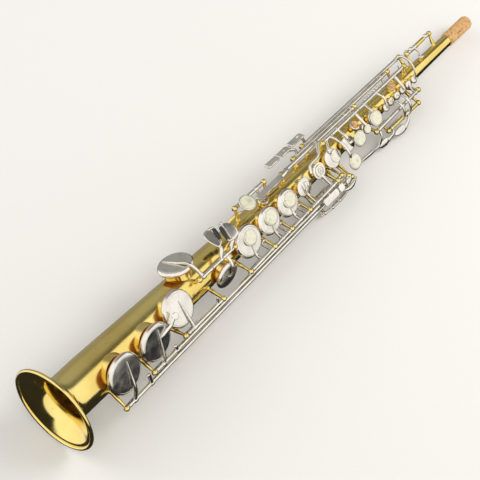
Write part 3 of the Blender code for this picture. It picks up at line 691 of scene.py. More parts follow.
def pad_shell(hole):
    """A pad: rolled leather edge, and the ring that the tone hole has pressed into its face."""
    x, angle, rim, bore, radius = HOLES[hole]
    hollow = hole in HOLLOW_CUPS
    inner = radius - CUP_WALL - GAP
    top, lip = (PAD_THICKNESS, PAD_PROUD - 0.1) if hollow else (1.0, 0.8)
    seat = bore + CHIMNEY_WALL / 2
    profile = [
        (0, top, 0), (inner, top, 0), (inner, lip, 0.1), (radius - 0.2, lip, 0.3),
        (radius - 0.3, 0.25, 0.45), (radius - 1.0, 0.0, 0.4), (seat + 0.6, 0.0, 0.2),
        (seat, 0.2, 0.3), (seat - 0.9, 0.0, 0.3), (0, 0.0, 0),
    ]
    return turned(profile, at(x, angle, rim + GAP), outward(angle), 56)


def holder_at(centre, normal, radius=HOLDER_RADIUS, thickness=1.8):
    """The cup that a pearl sits in: a floor and a broad bevelled bead round it."""
    profile = [
        (0, thickness - 1.0, 0), (radius - 1.15, thickness - 1.0, 0), (radius - 1.1, thickness, 0.2),
        (radius - 0.4, thickness - 0.15, 0.4), (radius, thickness * 0.5, 0.4), (radius - 0.5, 0, 0.3),
        (0, 0, 0),
    ]
    return turned(profile, centre, normal, 48)


def pearl_at(centre, normal, radius=PEARL_RADIUS, thickness=PEARL_THICKNESS):
    """A pearl touch: soft edge and a shallow dish for the fingertip."""
    profile = [
        (0, thickness - 0.1, 0), (radius * 0.5, thickness, 0.5), (radius * 0.86, thickness + 0.05, 0.7),
        (radius, thickness - 0.6, 0.5), (radius, 0, 0.1), (0, 0, 0),
    ]
    return turned(profile, centre, normal, 48)


def ring_holder(x, angle, height, radius=HOLDER_RADIUS, thickness=1.8):
    """A pearl's cup that faces straight out from the tube."""
    return holder_at(at(x, angle, height), outward(angle), radius, thickness)


def pearl_shell(x, angle, height, radius=PEARL_RADIUS, thickness=PEARL_THICKNESS):
    """A pearl that faces straight out from the tube."""
    return pearl_at(at(x, angle, height), outward(angle), radius, thickness)


def blade(points, root=1.9, tip=0.6, up=(0, 0, 1)):
    """A key arm that narrows from its hinge to a point on the cup."""
    count = len(points) - 1
    sizes = []
    for i in range(count + 1):
        half = root + (tip - root) * (i / count) ** 1.3
        sizes.append((half, half * 0.9))
    return bar(points, sizes, up, 8, 14, 0.85)


# ---------------------------------------------------------------- brass body


CONE_SLOPE = 0.03
ON_CONE = 0.985
STEEPEST_CONE = 0.15
ON_BORE = 0.3
NEAREST_HOLES = 25.0


def body_normals(mesh):
    """Loop normals of the true cones and cylinders, so that the facets never show."""
    rings = [
        (Vector((x, 0, 0)), outward(angle), bore) for x, angle, _, bore, _ in HOLES.values()
    ]
    normals = [None] * len(mesh.loops)
    for face in mesh.polygons:
        middle, facet = face.center, face.normal
        radial = Vector((0, middle.y, middle.z)).normalized()
        if abs(facet.dot(radial)) > ON_CONE and abs(facet.x) < STEEPEST_CONE:
            for loop in face.loop_indices:
                point = mesh.vertices[mesh.loops[loop].vertex_index].co
                true = Vector((0, point.y, point.z)).normalized()
                true = (true + Vector((CONE_SLOPE, 0, 0))).normalized()
                normals[loop] = true if facet.dot(radial) > 0 else -true
            continue
        around = [ring for ring in rings if abs(middle.x - ring[0].x) < NEAREST_HOLES] or rings[:1]
        near = min(around, key=lambda ring: off_wall(middle, ring))
        across = abs(facet.dot(near[1]))
        for loop in face.loop_indices:
            point = mesh.vertices[mesh.loops[loop].vertex_index].co
            out = point - near[0]
            out = out - near[1] * out.dot(near[1])
            if across < ON_BORE and out.length > 0.1:
                out.normalize()
                normals[loop] = out if facet.dot(out) > 0 else -out
            else:
                normals[loop] = facet.copy()
    mesh.normals_split_custom_set(normals)


def off_wall(point, ring):
    """How far a point is from the wall of a tone hole's cylinder."""
    centre, axis, bore = ring
    out = point - centre
    return abs((out - axis * out.dot(axis)).length - bore)


def make_body():
    """The conical tube with a real hole and a drawn-up chimney under every cup."""
    stations = [TUBE_END, 620.0, 570.0] + [570.0 - 34.0 * k for k in range(1, 10)]
    stations += [230.0] + [230.0 - 23.0 * k for k in range(1, 8)] + [BELL_LENGTH]
    outer = [(tube_radius(x), x, 0) for x in stations]
    tube = turned([(0, TUBE_END, 0)] + outer + [(0, BELL_LENGTH, 0)], *TUBE_AXIS, 112)
    end = TUBE_END + OVERCUT
    start = BELL_LENGTH - OVERCUT
    inner = [(0, end, 0), (tube_radius(TUBE_END) - WALL, end, 0)]
    inner += [(tube_radius(x) - WALL, x, 0) for x in stations]
    inner += [(tube_radius(BELL_LENGTH) - WALL, start, 0), (0, start, 0)]
    added, cut = [], [turned(inner, *TUBE_AXIS, 112)]
    for x, angle, rim, bore, _ in HOLES.values():
        sides = 56 if bore > 8 else 36
        inside = tube_radius(x) - WALL - 0.1
        low = math.sqrt(max(inside ** 2 - (bore + CHIMNEY_WALL) ** 2, 1.0))
        radius = bore + CHIMNEY_WALL
        height = rim - low
        chimney = [
            (0, 0, 0), (radius, 0, 0), (radius, height - 0.9, 0.2), (radius + 0.2, height - 0.35, 0.2),
            (radius, height, 0.15), (0, height, 0),
        ]
        added.append(turned(chimney, at(x, angle, low), outward(angle), sides))
        drill = [(0, 0, 0), (bore, 0, 0), (bore, rim + OVERCUT, 0), (0, rim + OVERCUT, 0)]
        cut.append(turned(drill, at(x, angle, 1.0), outward(angle), sides))
    base = as_object(tube)
    for shape, operation in [(s, "UNION") for s in added] + [(s, "DIFFERENCE") for s in cut]:
        other = as_object(shape)
        boolean = base.modifiers.new("Boolean", "BOOLEAN")
        boolean.operation = operation
        boolean.solver = "MANIFOLD"
        boolean.object = other
    bpy.context.view_layer.update()
    graph = bpy.context.evaluated_depsgraph_get()
    mesh = bpy.data.meshes.new_from_object(base.evaluated_get(graph))
    for obj in [o for o in bpy.data.objects if o.name.startswith("solid")]:
        bpy.data.objects.remove(obj)
    mesh.shade_smooth()
    body_normals(mesh)
    mesh.transform(TO_ROW)
    keep("body_tube_form", mesh, "frame", "lacquered_brass", ("body_tube",))


def as_object(shape):
    """A shape as an object that the body is joined or cut with."""
    mesh = bpy.data.meshes.new("solid")
    shape.to_mesh(mesh)
    shape.free()
    obj = bpy.data.objects.new("solid", mesh)
    bpy.context.scene.collection.objects.link(obj)
    return obj


def make_bell():
    """The flare with its rolled rim, thin to the eye, and smooth on to the tube."""
    throat = TAPER[0][1]
    reach = 24.0
    straight = 35.0
    lip = 1.6
    count = 22
    flare = []
    for step in range(1, count + 1):
        x = lip + (reach - lip) * (step / count) ** 1.5
        flare.append((throat + (BELL_RADIUS - throat - 0.8) * (1 - x / reach) ** 3, x))
    rim = []
    for step in range(15):
        turn = math.radians(100 - 20 * step)
        out = BELL_RADIUS - RIM_WIRE + RIM_WIRE * math.cos(turn)
        rim.append((out, RIM_WIRE + RIM_WIRE * math.sin(turn), 0))
    outer = [(throat, BELL_LENGTH, 0), (throat, straight, 0)]
    outer += [(r, x, 0) for r, x in reversed(flare)]
    inner = [(r - WALL, x, 0) for r, x in flare]
    inner += [(throat - WALL, straight, 0), (throat - WALL, BELL_LENGTH, 0)]
    shell = turned(outer + rim + inner, *TUBE_AXIS, 144)
    piece("bell_form", "frame", "lacquered_brass", [shell], ("bell",), 50)


def make_cork():
    """The cork sleeve, worn a little, with the brass tenon's end showing in it."""
    bore = TAPER[-1][1] + 0.05
    end = TOTAL_LENGTH
    profile = [
        (bore, end, 0.2), (CORK_RADIUS - 0.7, end, 0.5), (CORK_RADIUS - 0.05, end - 1.8, 1.2),
        (CORK_RADIUS, 640, 3), (CORK_RADIUS - 0.25, 632, 3), (CORK_RADIUS - 0.05, CORK_START + 2.0, 1),
        (CORK_RADIUS - 0.5, CORK_START, 0.5), (bore, CORK_START, 0),
    ]
    shape = turned(profile, *TUBE_AXIS, 72)
    for vert in shape.verts:
        out = Vector((0, vert.co.y, vert.co.z))
        ripple = math.sin(vert.co.x * 1.7 + math.atan2(vert.co.y, vert.co.z) * 5)
        if out.length > bore + 0.5:
            vert.co -= out.normalized() * 0.06 * (1 + ripple)
    piece("neck_cork_form", "frame", "natural_cork", [shape], ("neck_cork",))


# ---------------------------------------------------------------- posts


def foot_angle(line, x):
    """Where round the tube a post stands: under its head, or as near to it as the tone holes allow."""
    head = line_point(line, x)
    start = math.degrees(math.atan2(head.y, head.z))
    for step in range(40):
        angle = start + (step + 1) // 2 * FOOT_STEP * (-1) ** step
        if all(clear_of(at(x, angle, tube_radius(x)), hole) for hole in HOLES):
            return angle
    return start


def clear_of(foot, hole):
    """Whether a post's foot stands clear of a tone hole's wall."""
    x, angle, _, bore, _ = HOLES[hole]
    out = foot - Vector((x, 0, 0))
    axis = outward(angle)
    aside = (out - axis * out.dot(axis)).length
    return out.dot(axis) < 0 or aside > bore + CHIMNEY_WALL + FOOT_RADIUS


def post(line, x, girth=1.0):
    """A post: a turned foot on the tube, a waisted shank and a ball with flat ends on the hinge line."""
    head = line_point(line, x)
    along = LINES[line][1]
    angle = foot_angle(line, x)
    seat = tube_radius(x)
    foot = [
        (0, -0.9, 0), (FOOT_RADIUS, -0.9, 0), (FOOT_RADIUS, 0.7, 0.3), (1.95, 1.2, 0.5),
        (1.8, 2.3, 0.3), (0, 2.3, 0),
    ]
    shells = [turned(foot, at(x, angle, seat), outward(angle), 28)]
    base = at(x, angle, seat + 1.0)
    places = [base, base.lerp(head, 0.3), base.lerp(head, 0.72), head]
    shells.append(bar(places, [girth * size for size in (1.7, 1.9, 1.35, 1.3)], along, 6, 20))
    half = POST_WIDTH / 2
    spread = 50
    turns = [math.radians(spread * (step / 5 - 1)) for step in range(11)]
    reach = half / math.sin(math.radians(spread))
    outline = [(POST_BALL * math.cos(a), reach * math.sin(a), 0) for a in turns]
    profile = [(HINGE_ROD, -half, 0)] + outline + [(HINGE_ROD, half, 0)]
    shells.append(turned(profile, head, along, 32))
    return shells


def make_posts(name, heads):
    """The posts of one CAD strip, with their hinge screws and their needle springs.

    A post that stands alone on its line among the crowded ones has no room for a spring.
    """
    brass, steel, screws = [], [], []
    ends = {}
    for line, x in heads:
        crowded = x > CROWDED_FROM and line in CROWDED_LINES
        brass += post(line, x, SLIM_POST if crowded else 1.0)
        ends.setdefault(line, []).append(x)
    for line, places in ends.items():
        along = LINES[line][1]
        for x, sign in ((min(places), -1), (max(places), 1)):
            face = line_point(line, x) + along * sign * (POST_WIDTH / 2 - 0.3)
            screws += slotted_head(face, along * sign, 1.6, 0.8)
        if places[0] > CROWDED_FROM and len(places) == 1:
            continue
        inward = -Vector((0, *line_point(line, places[0]).yz)).normalized()
        start = line_point(line, min(places)) + inward * 2.1
        tip = line_point(line, min(places) + 20) + inward * 3.0
        steel.append(bar([start, start.lerp(tip, 0.5), tip], [0.32, 0.28, 0.2], inward, 4, 8))
    piece(name + "_form", "frame", "lacquered_brass", brass, (name,))
    piece(name + "_screws", "frame", "nickel_plate", screws)
    piece(name + "_springs", "frame", "blued_steel", steel)


POSTS = {
    "bell_key_posts": (("low_Bb", 52), ("low_B", 93)),
    "low_C_posts": (("low_C", 136), ("low_C", 190.6)),
    "right_pinky_posts": (("right_pinky", 180), ("right_pinky", 232)),
    "lower_stack_posts": [("lower_stack", x) for x in (231.3, 270.2, 298.3, 329.1, 377.6)],
    "left_pinky_posts": (
        ("left_pinky", 348.4), ("left_pinky", 391.2), ("low_B", 395.6), ("low_Bb", 401),
    ),
    "side_key_posts": (
        ("side_Bb", 333), ("side_C", 359), ("high_E", 381), ("upper_stack", 392),
        ("side_Bb", 456), ("side_C", 522), ("upper_stack", 539.6), ("high_E", 551.5),
    ),
    "palm_key_posts": (
        ("palm_outer", 456), ("palm_outer", 534), ("palm_inner", 474), ("palm_inner", 528),
    ),
    "trill_posts": (("trill", 264.5), ("trill", 309)),
    "neck_octave_posts": (("neck_octave", 557.5), ("neck_octave", 599.5)),
    "octave_lever_posts": (("octave_lever", 443), ("octave_lever", 555)),
    "body_octave_posts": (("body_octave", 490), ("body_octave", 520)),
}


def make_all_posts():
    """Every post, the strap between the low C key's posts, and the rods of the two stacks."""
    for name, heads in POSTS.items():
        make_posts(name, heads)
    place = over(179, -64, tube_radius(179) + 0.5)
    strap = plate(rounded_outline(26, 3.6, 1.7), 1.2, place, 0.45, 0, 0.012)
    piece("low_C_post_strap", "frame", "lacquered_brass", [strap])
    for line, x0, x1 in (("lower_stack", 228.8, 380.0), ("upper_stack", 389.6, 542.0)):
        start, end = line_point(line, x0), line_point(line, x1)
        length = (end - start).length
        profile = [(0, 0, 0), (HINGE_ROD, 0, 0.2), (HINGE_ROD, length, 0.2), (0, length, 0)]
        rod = turned(profile, start, end - start, 20)
        piece(line + "_rod_form", "frame", "nickel_plate", [rod], (line + "_rod",))


# ---------------------------------------------------------------- fittings on the back


def make_fittings():
    """Thumb hook, thumb rest, strap ring and the left-hand guard."""
    hook_angle = 155.0
    root = tube_radius(274) + 1.1
    base = plate(rounded_outline(30, 8, 3.2), 1.6, over(289, hook_angle, root), 0.5, 0, 0.02)
    points = [
        at(300, hook_angle, root), at(299, hook_angle, 26), at(294, hook_angle, 34),
        at(286, hook_angle + 4, 39.1), at(279, hook_angle + 12, 38.9),
    ]
    sizes = [(4.2, 2.3), (3.0, 2.0), (3.4, 1.9), (4.0, 1.7), (3.2, 1.4)]
    hook = bar(points, sizes, (1, 0, 0), 8, 24, 0.8)
    piece("thumb_hook_form", "frame", "lacquered_brass", [base, hook], ("thumb_hook",))
    screws = []
    for x, angle in ((281.5, hook_angle), (296.5, hook_angle + 10)):
        screws += slotted_head(at(x, angle, root + 0.5), outward(hook_angle), 1.5, 0.8)
    piece("thumb_hook_screws", "frame", "nickel_plate", screws)

    seat = tube_radius(428) + GAP
    rest = plate(rounded_outline(16, 7, 2.4), 1.2, over(428, 180, seat + 0.6), 0.4)
    holder = ring_holder(428, 180, seat + 0.9, 6.4, 2.4)
    piece("thumb_rest_form", "frame", "lacquered_brass", [rest, holder], ("thumb_rest",))
    button = pearl_shell(428, 180, seat + 1.6, 5.5, 2.0)
    piece("thumb_rest_button", "frame", "black_roller", [button])

    ring_x = 340.0
    seat = tube_radius(ring_x) + GAP
    foot = plate(rounded_outline(18, 7, 3.0), 1.4, over(ring_x, 180, seat + 0.7), 0.5)
    section = [(4.7, -1.1, 0.7), (7.0, -1.1, 0.9), (7.0, 1.1, 0.9), (4.7, 1.1, 0.7)]
    loop = turned(section, at(ring_x, 180, seat + 7.2), (0, 1, 0), 48)
    ends = [at(ring_x, 180, seat + 0.5), at(ring_x, 180, seat + 2.0)]
    neck = bar(ends, [(3.4, 1.3), (2.0, 1.2)], (0, 1, 0), 4, 20)
    piece("strap_ring_form", "frame", "lacquered_brass", [foot, loop, neck], ("strap_ring",))

    brass = []
    profile = [(0, -0.9, 0), (2.8, -0.9, 0), (2.8, 0.8, 0.3), (1.8, 1.6, 0.4), (0, 1.6, 0)]
    for x, tip in ((356.0, (356.0, -41.9, -8.8)), (396.0, (396.0, -40.2, -7.4))):
        root = at(x, -144, tube_radius(x) + 1.2)
        brass.append(bar([root, at(x, -119, 28), tip], [1.8, 1.5, 1.3], (1, 0, 0), 8, 18))
        brass.append(turned(profile, at(x, -144, tube_radius(x)), outward(-144), 28))
    piece("pinky_guard_feet", "frame", "lacquered_brass", brass)
    places = ((350, -41.2, -8.5), (366, -43.0, -9.2), (388, -42.5, -8.8), (402, -38.4, -6.4))
    rail = [Vector(place) for place in places]
    guard = [bar(rail, [(0.9, 0.9), (1.1, 1.1), (1.5, 1.3), (1.8, 1.4)], (0, -1, 0), 8, 18)]
    for share in (0.35, 1.05, 1.6):
        i = int(share)
        guard.append(ball(rail[i].lerp(rail[i + 1], share - i) + Vector((0, 0, 0.7)), 1.9))
    piece("pinky_guard_form", "frame", "nickel_plate", guard, ("pinky_guard",))


# ---------------------------------------------------------------- keys


def keep_key(name, shells, pads=(), extra=()):
    """A key's metal and its pads. extra holds (suffix, material, shells) for anything else on it."""
    piece(name + "_form", name, "nickel_plate", shells, (name,))
    for hole in pads:
        node = (hole + "_pad",) if hole in HOLLOW_CUPS else ()
        piece(hole + "_pad_form", name, "pad_leather", [pad_shell(hole)], node)
    for suffix, material, more in extra:
        piece(name + suffix, name, material, more)


def low_key(name, x0, x1, arms, more, line=None, extra=()):
    """A large cup on a long hinge tube.

    arms holds, for each arm, the place of its root along the hinge line, the place of its tip and
    how far the tip reaches past the middle of the cup.
    """
    middle, angle, _, _, radius = HOLES[name]
    line = line or name
    top = cup_top(name)
    side = 1 if line_point(line, middle).y < at(middle, angle, top).y else -1
    shells = [cup(name), hinge_tube(line, x0, x1)]
    for root_x, tip_x, reach in arms:
        root = line_point(line, root_x)
        edge_x = tip_x + (root_x - tip_x) * 0.55
        edge = at(edge_x, angle, top + 1.1) - sideways(angle) * side * (radius - 1.0)
        tip = at(tip_x, angle, top + 0.5) + sideways(angle) * side * reach
        half = edge.lerp(tip, 0.5) + outward(angle) * 0.2
        shells.append(blade([root, edge, half, tip], 2.1, 0.5, outward(angle)))
        shells.append(collar(line, root_x, 4.4, 2.7))
    for end in (x0 + 2.2, x1 - 2.2):
        shells.append(collar(line, end, 3.0, 2.25))
    keep_key(name + "_key", shells + more, (name,), extra)


def make_bell_keys():
    """The low B flat, low B and low C keys."""
    leaf = [(379, -37.6, 8.0), (386, -39.9, 7.6), (394, -39.9, 6.9), (403, -37.0, 6.2)]
    stem = bar([line_point("low_Bb", 389), (389, -37.5, 6.5)], [1.6, 1.4], (1, 0, 0))
    touch = bar(leaf, [(0.8, 0.7), (2.1, 1.3), (2.4, 1.3), (0.9, 0.7)], (0, -0.6, 0.8), 8, 20)
    low_key("low_Bb", 54.8, 398.2, ((63.6, 66.8, 11.0), (86.6, 79.0, -17.6)), [stem, touch])

    stem = bar([line_point("low_B", 389), (389, -33.4, 13.2)], [1.5, 1.2], (1, 0, 0))
    touch = plate(rounded_outline(9, 5.5, 2.2), 1.3, leaning((388.5, -34.0, 13.4), -30), 0.5, 0.3)
    high = cup_top("low_B")
    rest = at(132, -18, cup_top("low_C") + 5.0)
    link_points = [
        at(111.0, -33.5, high + 0.5), at(115.0, -32.5, high + 1.0), at(119.5, -30.0, high + 1.6),
        at(124.0, -26.5, high + 3.2), at(128, -20.0, cup_top("low_C") + 5.2), rest,
    ]
    sizes = [(1.0, 0.8), (1.9, 1.2), (2.1, 1.3), (1.9, 1.3), (2.0, 1.4), (2.2, 1.3)]
    link = bar(link_points, sizes, outward(-36), 8, 18, 0.85)
    profile = [(0, 1.6, 0), (3.4, 1.5, 0.6), (3.6, 0.2, 0.4), (2.8, -1.2, 0.4), (0, -1.4, 0)]
    foot = turned(profile, rest, outward(-20), 32)
    arms = ((105.5, 110.5, 11.5), (125.0, 120.5, -16.2))
    low_key("low_B", 95.8, 392.8, arms, [stem, touch, link, foot])

    root = line_point("low_C", 183)
    tail = bar([root, root + Vector((0, 5, 5))], [1.4, 1.1], (1, 0, 0))
    low_key("low_C", 138.8, 187.8, ((148.2, 146.5, 6.5),), [tail])


def roller(start, end):
    """A roller on its steel pin, which runs a little past both of its ends."""
    start, end = Vector(start), Vector(end)
    half = (end - start).length / 2
    middle = start.lerp(end, 0.5)
    profile = [
        (0, -half, 0), (1.7, -half, 0.5), (2.1, -half * 0.4, 2), (2.1, half * 0.4, 2), (1.7, half, 0.5),
        (0, half, 0),
    ]
    pin = [(0, -half - 1.2, 0), (0.6, -half - 1.2, 0.2), (0.6, half + 1.2, 0.2), (0, half + 1.2, 0)]
    return turned(profile, middle, end - start, 24), turned(pin, middle, end - start, 14)


def pinky_plate(outline, middle, lean):
    """A little-finger plate from its outline seen from above, leaning by an angle towards +Y."""
    x, y, _ = middle
    flat = [(px - x, (py - y) / math.cos(math.radians(lean))) for px, py in outline]
    curve = smooth_path([Vector(point) for point in flat + flat[:1]], 4)[:-1]
    return plate([tuple(point) for point in curve], 1.7, leaning(middle, lean), 0.7, 0.3)


def roller_cheek(plate_point, pin_end):
    """The ear that carries one end of a roller's pin."""
    return bar([plate_point, Vector(plate_point).lerp(Vector(pin_end), 0.6), pin_end], [1.2, 1.3, 1.0])


def make_right_pinky():
    """The low C sharp key, and the E flat key and low C touch with their facing rollers."""
    low_key("low_Csharp", 183.0, 198.0, ((185.5, 174.5, 12.5),), [], "right_pinky")

    line = "right_pinky"
    top = cup_top("Eb")
    side = sideways(-60) * 11.8
    arm = blade(
        [line_point(line, 219), at(218, -60, top + 1.0) + side, at(216, -60, top + 0.8),
         at(213, -60, top + 0.3)],
        1.9, 0.5, outward(-60),
    )
    start, end = (232.4, 17.8, 29.3), (228.5, 4.8, 31.2)
    black, pin = roller(start, end)
    outline = [
        (235.8, 19.4), (240.3, 17.0), (242.9, 12.8), (243.3, 9.0), (242.4, 5.2), (240.0, 2.2),
        (235.5, 0.9), (231.0, 1.2), (231.2, 4.0), (232.3, 8.0), (233.8, 13.0), (234.9, 17.4),
    ]
    touch = pinky_plate(outline, (237.2, 9.6, 30.4), 10)
    cheeks = [roller_cheek((236.3, 19.0, 28.8), (232.8, 19.3, 29.0)),
              roller_cheek((232.4, 1.7, 31.4), (228.1, 3.4, 31.4))]
    plate_arm = bar(
        [line_point(line, 226.5), (228.5, -1.4, 28.4), (232.5, 1.2, 30.6), (237, 4.5, 30.2)],
        [(1.7, 1.6), (1.7, 1.5), (1.8, 1.2), (1.4, 0.8)],
    )
    shells = [cup("Eb"), hinge_tube(line, 214.0, 229.2), collar(line, 219), arm, plate_arm, touch, pin]
    shells.append(ball((235.9, 19.7, 29.2), 1.5))
    keep_key("Eb_key", shells + cheeks, ("Eb",), [("_roller", "black_roller", [black])])

    start, end = (227.0, 20.8, 27.2), (222.9, 9.6, 30.2)
    black, pin = roller(start, end)
    outline = [
        (214.4, 23.0), (219.0, 24.6), (223.6, 23.6), (223.8, 20.0), (222.2, 15.0), (220.4, 10.6),
        (218.9, 6.6), (217.2, 4.4), (215.2, 6.2), (213.8, 11.0), (213.2, 17.5),
    ]
    touch = pinky_plate(outline, (218.2, 14.6, 28.6), 17)
    cheeks = [roller_cheek((222.8, 23.4, 26.4), (227.4, 22.2, 26.8)),
              roller_cheek((218.6, 6.4, 30.8), (222.1, 8.2, 30.6))]
    plate_arm = bar(
        [line_point(line, 211.2), (212.8, -1.6, 28.6), (216.0, 2.0, 31.0), (217.4, 7.0, 30.6),
         (217.6, 12.0, 29.2)],
        [(1.7, 1.6), (1.7, 1.6), (1.8, 1.3), (1.6, 1.0), (1.0, 0.6)],
    )
    edge = bar(
        [(218.6, 6.0, 31.2), (216.2, 5.2, 31.4), (214.2, 11.0, 29.9), (213.7, 17.0, 28.1),
         (215.2, 22.8, 26.4)],
        [(0.9, 0.7), (1.1, 0.9), (1.1, 0.9), (1.1, 0.9), (0.9, 0.7)], (0, 0, 1), 6, 16,
    )
    shells = [hinge_tube(line, 198.6, 213.4), collar(line, 211.2, 3.6), plate_arm, touch, edge, pin]
    shells.append(ball((214.6, -0.6, 28.9), 1.9))
    keep_key("low_C_touch", shells + cheeks, (), [("_roller", "black_roller", [black])])


def stack_key(hole, x0, x1, more=(), line="lower_stack", pads=None, extra=()):
    """A cup on a bored tube, with a blade arm from the tube to its top."""
    x, angle, _, _, radius = HOLES[hole]
    top = cup_top(hole)
    root = line_point(line, min(max(x, x0 + 3.6), x1 - 2))
    side = 1 if root.y > 0 else -1
    edge = at(x, angle, top + 0.8) + sideways(angle) * side * (radius - 0.8)
    tip = at(x, angle, top + 0.2) + sideways(angle) * side * radius * 0.1
    arm = blade([root, edge, edge.lerp(tip, 0.5), tip], 1.8, 0.6, outward(angle))
    shells = [cup(hole), hinge_tube(line, x0, x1), collar(line, root.x), arm, *more]
    keep_key(hole + "_key", shells, pads or (hole,), extra)


def make_lower_stack():
    """The D, E, F, F sharp and G sharp keys."""
    spans = {"D": (234.0, 267.6), "E": (272.8, 295.7), "F": (300.9, 326.5)}
    for hole, (x0, x1) in spans.items():
        x, angle, *_ = HOLES[hole]
        seat = cup_top(hole)
        holder = ring_holder(x + 1.4, angle + 9, seat)
        foot = bar(
            [line_point("lower_stack", x1 - 3), at(x1 - 3, angle - 38, seat + 1),
             at(x1 - 0.6, angle - 30, seat + 0.5)],
            [(1.2, 1.2), (1.1, 0.9), (1.5, 0.8)], outward(angle),
        )
        stack_key(hole, x0, x1, [holder, foot, collar("lower_stack", x1 - 3, 2.6)])
        button = pearl_shell(x + 1.4, angle + 9, seat + 0.9)
        piece(hole + "_pearl_form", hole + "_key", "mother_of_pearl", [button], (hole + "_pearl",))

    x, angle, *_ = HOLES["Fsharp"]
    top = cup_top("Fsharp")
    more = []
    for shift in (-2.6, 4.2):
        path = [at(x + shift, angle + lean, top + 0.6) for lean in (-34, 0, 30)]
        more.append(bar(path, [(1.0, 0.8), (1.2, 1.2), (1.0, 0.8)], outward(angle), 6, 14, 0.6))
    for lean in (-15, 9):
        more += slotted_head(at(x + 0.8, angle + lean, top + 0.3), outward(angle + lean), 2.1, 1.8)
    stack_key("Fsharp", 332.0, 349.0, more)

    x, angle, *_ = HOLES["Gsharp"]
    top = cup_top("Gsharp")
    place = at(x, angle, top - 0.1), outward(angle)
    ring = turned([(4.0, 0, 0.3), (6.6, 0, 0.5), (6.4, 1.2, 0.5), (4.3, 1.2, 0.4)], *place, 40)
    eye = turned([(1.0, 0, 0.2), (2.6, 0, 0.4), (2.4, 1.1, 0.4), (1.1, 1.1, 0.3)], *place, 28)
    stack_key("Gsharp", 349.6, 374.6, [ring, eye])


def make_upper_stack():
    """The G, A, bis, B and front F keys."""
    line = "upper_stack"
    over_path = [
        line_point(line, 404.6), (404.6, 2.0, 22.6), (404.8, -8.0, 23.0), (405.2, -15.5, 20.0),
        (406.0, -19.0, 15.6), (408.0, -22.4, 11.8),
    ]
    sizes = [(1.8, 1.8), (1.8, 1.4), (1.7, 1.3), (1.7, 1.3), (1.9, 1.2), (2.4, 1.0)]
    arm = bar(over_path, sizes, (0, 0, 1), 6, 16)
    seat = Vector((409.0, -24.4, 10.6))
    holder = holder_at(seat, outward(-35))
    top = cup_top("G")
    profile = [(0, 1.0, 0), (6.6, 0.9, 0.4), (6.8, 0, 0.2), (0, 0, 0)]
    second = turned(profile, at(394.5, -27, top), outward(-27), 40)
    stack_key("G", 394.8, 407.6, [arm, holder, second], line)
    button = pearl_at(seat + outward(-35) * 0.9, outward(-35))
    piece("G_pearl", "G_key", "mother_of_pearl", [button])

    holder = ring_holder(430, -36, 19.5)
    bridge = bar(
        [at(419, -30, cup_top("A")), at(424, -32, cup_top("A") + 1.5), at(430, -36, 19.9)],
        [(1.6, 0.9), (2.0, 1.0), (2.2, 0.9)], outward(-30),
    )
    stack_key("A", 408.2, 439.6, [bridge, holder], line)
    piece("A_pearl", "A_key", "mother_of_pearl", [pearl_shell(430, -36, 20.4)])

    top = cup_top("bis")
    holder = ring_holder(448, -38, top + 1.0, 5.2, 1.4)
    stack_key("bis", 440.2, 454.6, [holder], line)
    piece("bis_pearl", "bis_key", "mother_of_pearl", [pearl_shell(448, -38, top + 1.5, 4.5, 1.3)])

    top = cup_top("B")
    vent = blade(
        [line_point(line, 487), (487, 2, 19.0), at(487, -20, cup_top("upper_C") + 1.2),
         at(487, -38, cup_top("upper_C") + 0.2)],
        1.8, 0.7,
    )
    holder = ring_holder(465, -31, top + 0.5)
    places = (471, 477.5, 488, 492.6)
    studs = [ball(line_point(line, place) + Vector((0, 2.9, -0.8)), 1.7) for place in places]
    more = [cup("upper_C"), vent, holder, collar(line, 487), *studs]
    stack_key("B", 455.2, 494.6, more, line, ("B", "upper_C"))
    piece("B_pearl", "B_key", "mother_of_pearl", [pearl_shell(465, -31, top + 1.4)])
    stack_key("front_F", 495.2, 536.8, (), line)


def side_touch(length, width, centre, angle, ridges):
    """A side key's long touch plate with soft edges, and a ridge across it at each of some places."""
    place = leaning(centre, angle)
    shells = [plate(rounded_outline(length, width, 1.6), 2.0, place, 0.9, 0.0, 0.01)]
    for shift in ridges:
        ends = [place @ Vector((shift, y, 0.9)) for y in (-width * 0.4, 0, width * 0.4)]
        shells.append(bar(ends, [(0.9, 0.6)] * 3, outward(angle), 3, 12))
    return shells


def bumper(hole):
    """A disc of cork on the top of a small cup, which quietens the arm that rests on it."""
    x, angle, *_ = HOLES[hole]
    profile = [(0, 1.0, 0), (4.0, 0.9, 0.4), (4.2, 0.4, 0.2), (4.2, 0, 0), (0, 0, 0)]
    return turned(profile, at(x, angle, cup_top(hole) - 0.1), outward(angle), 28)


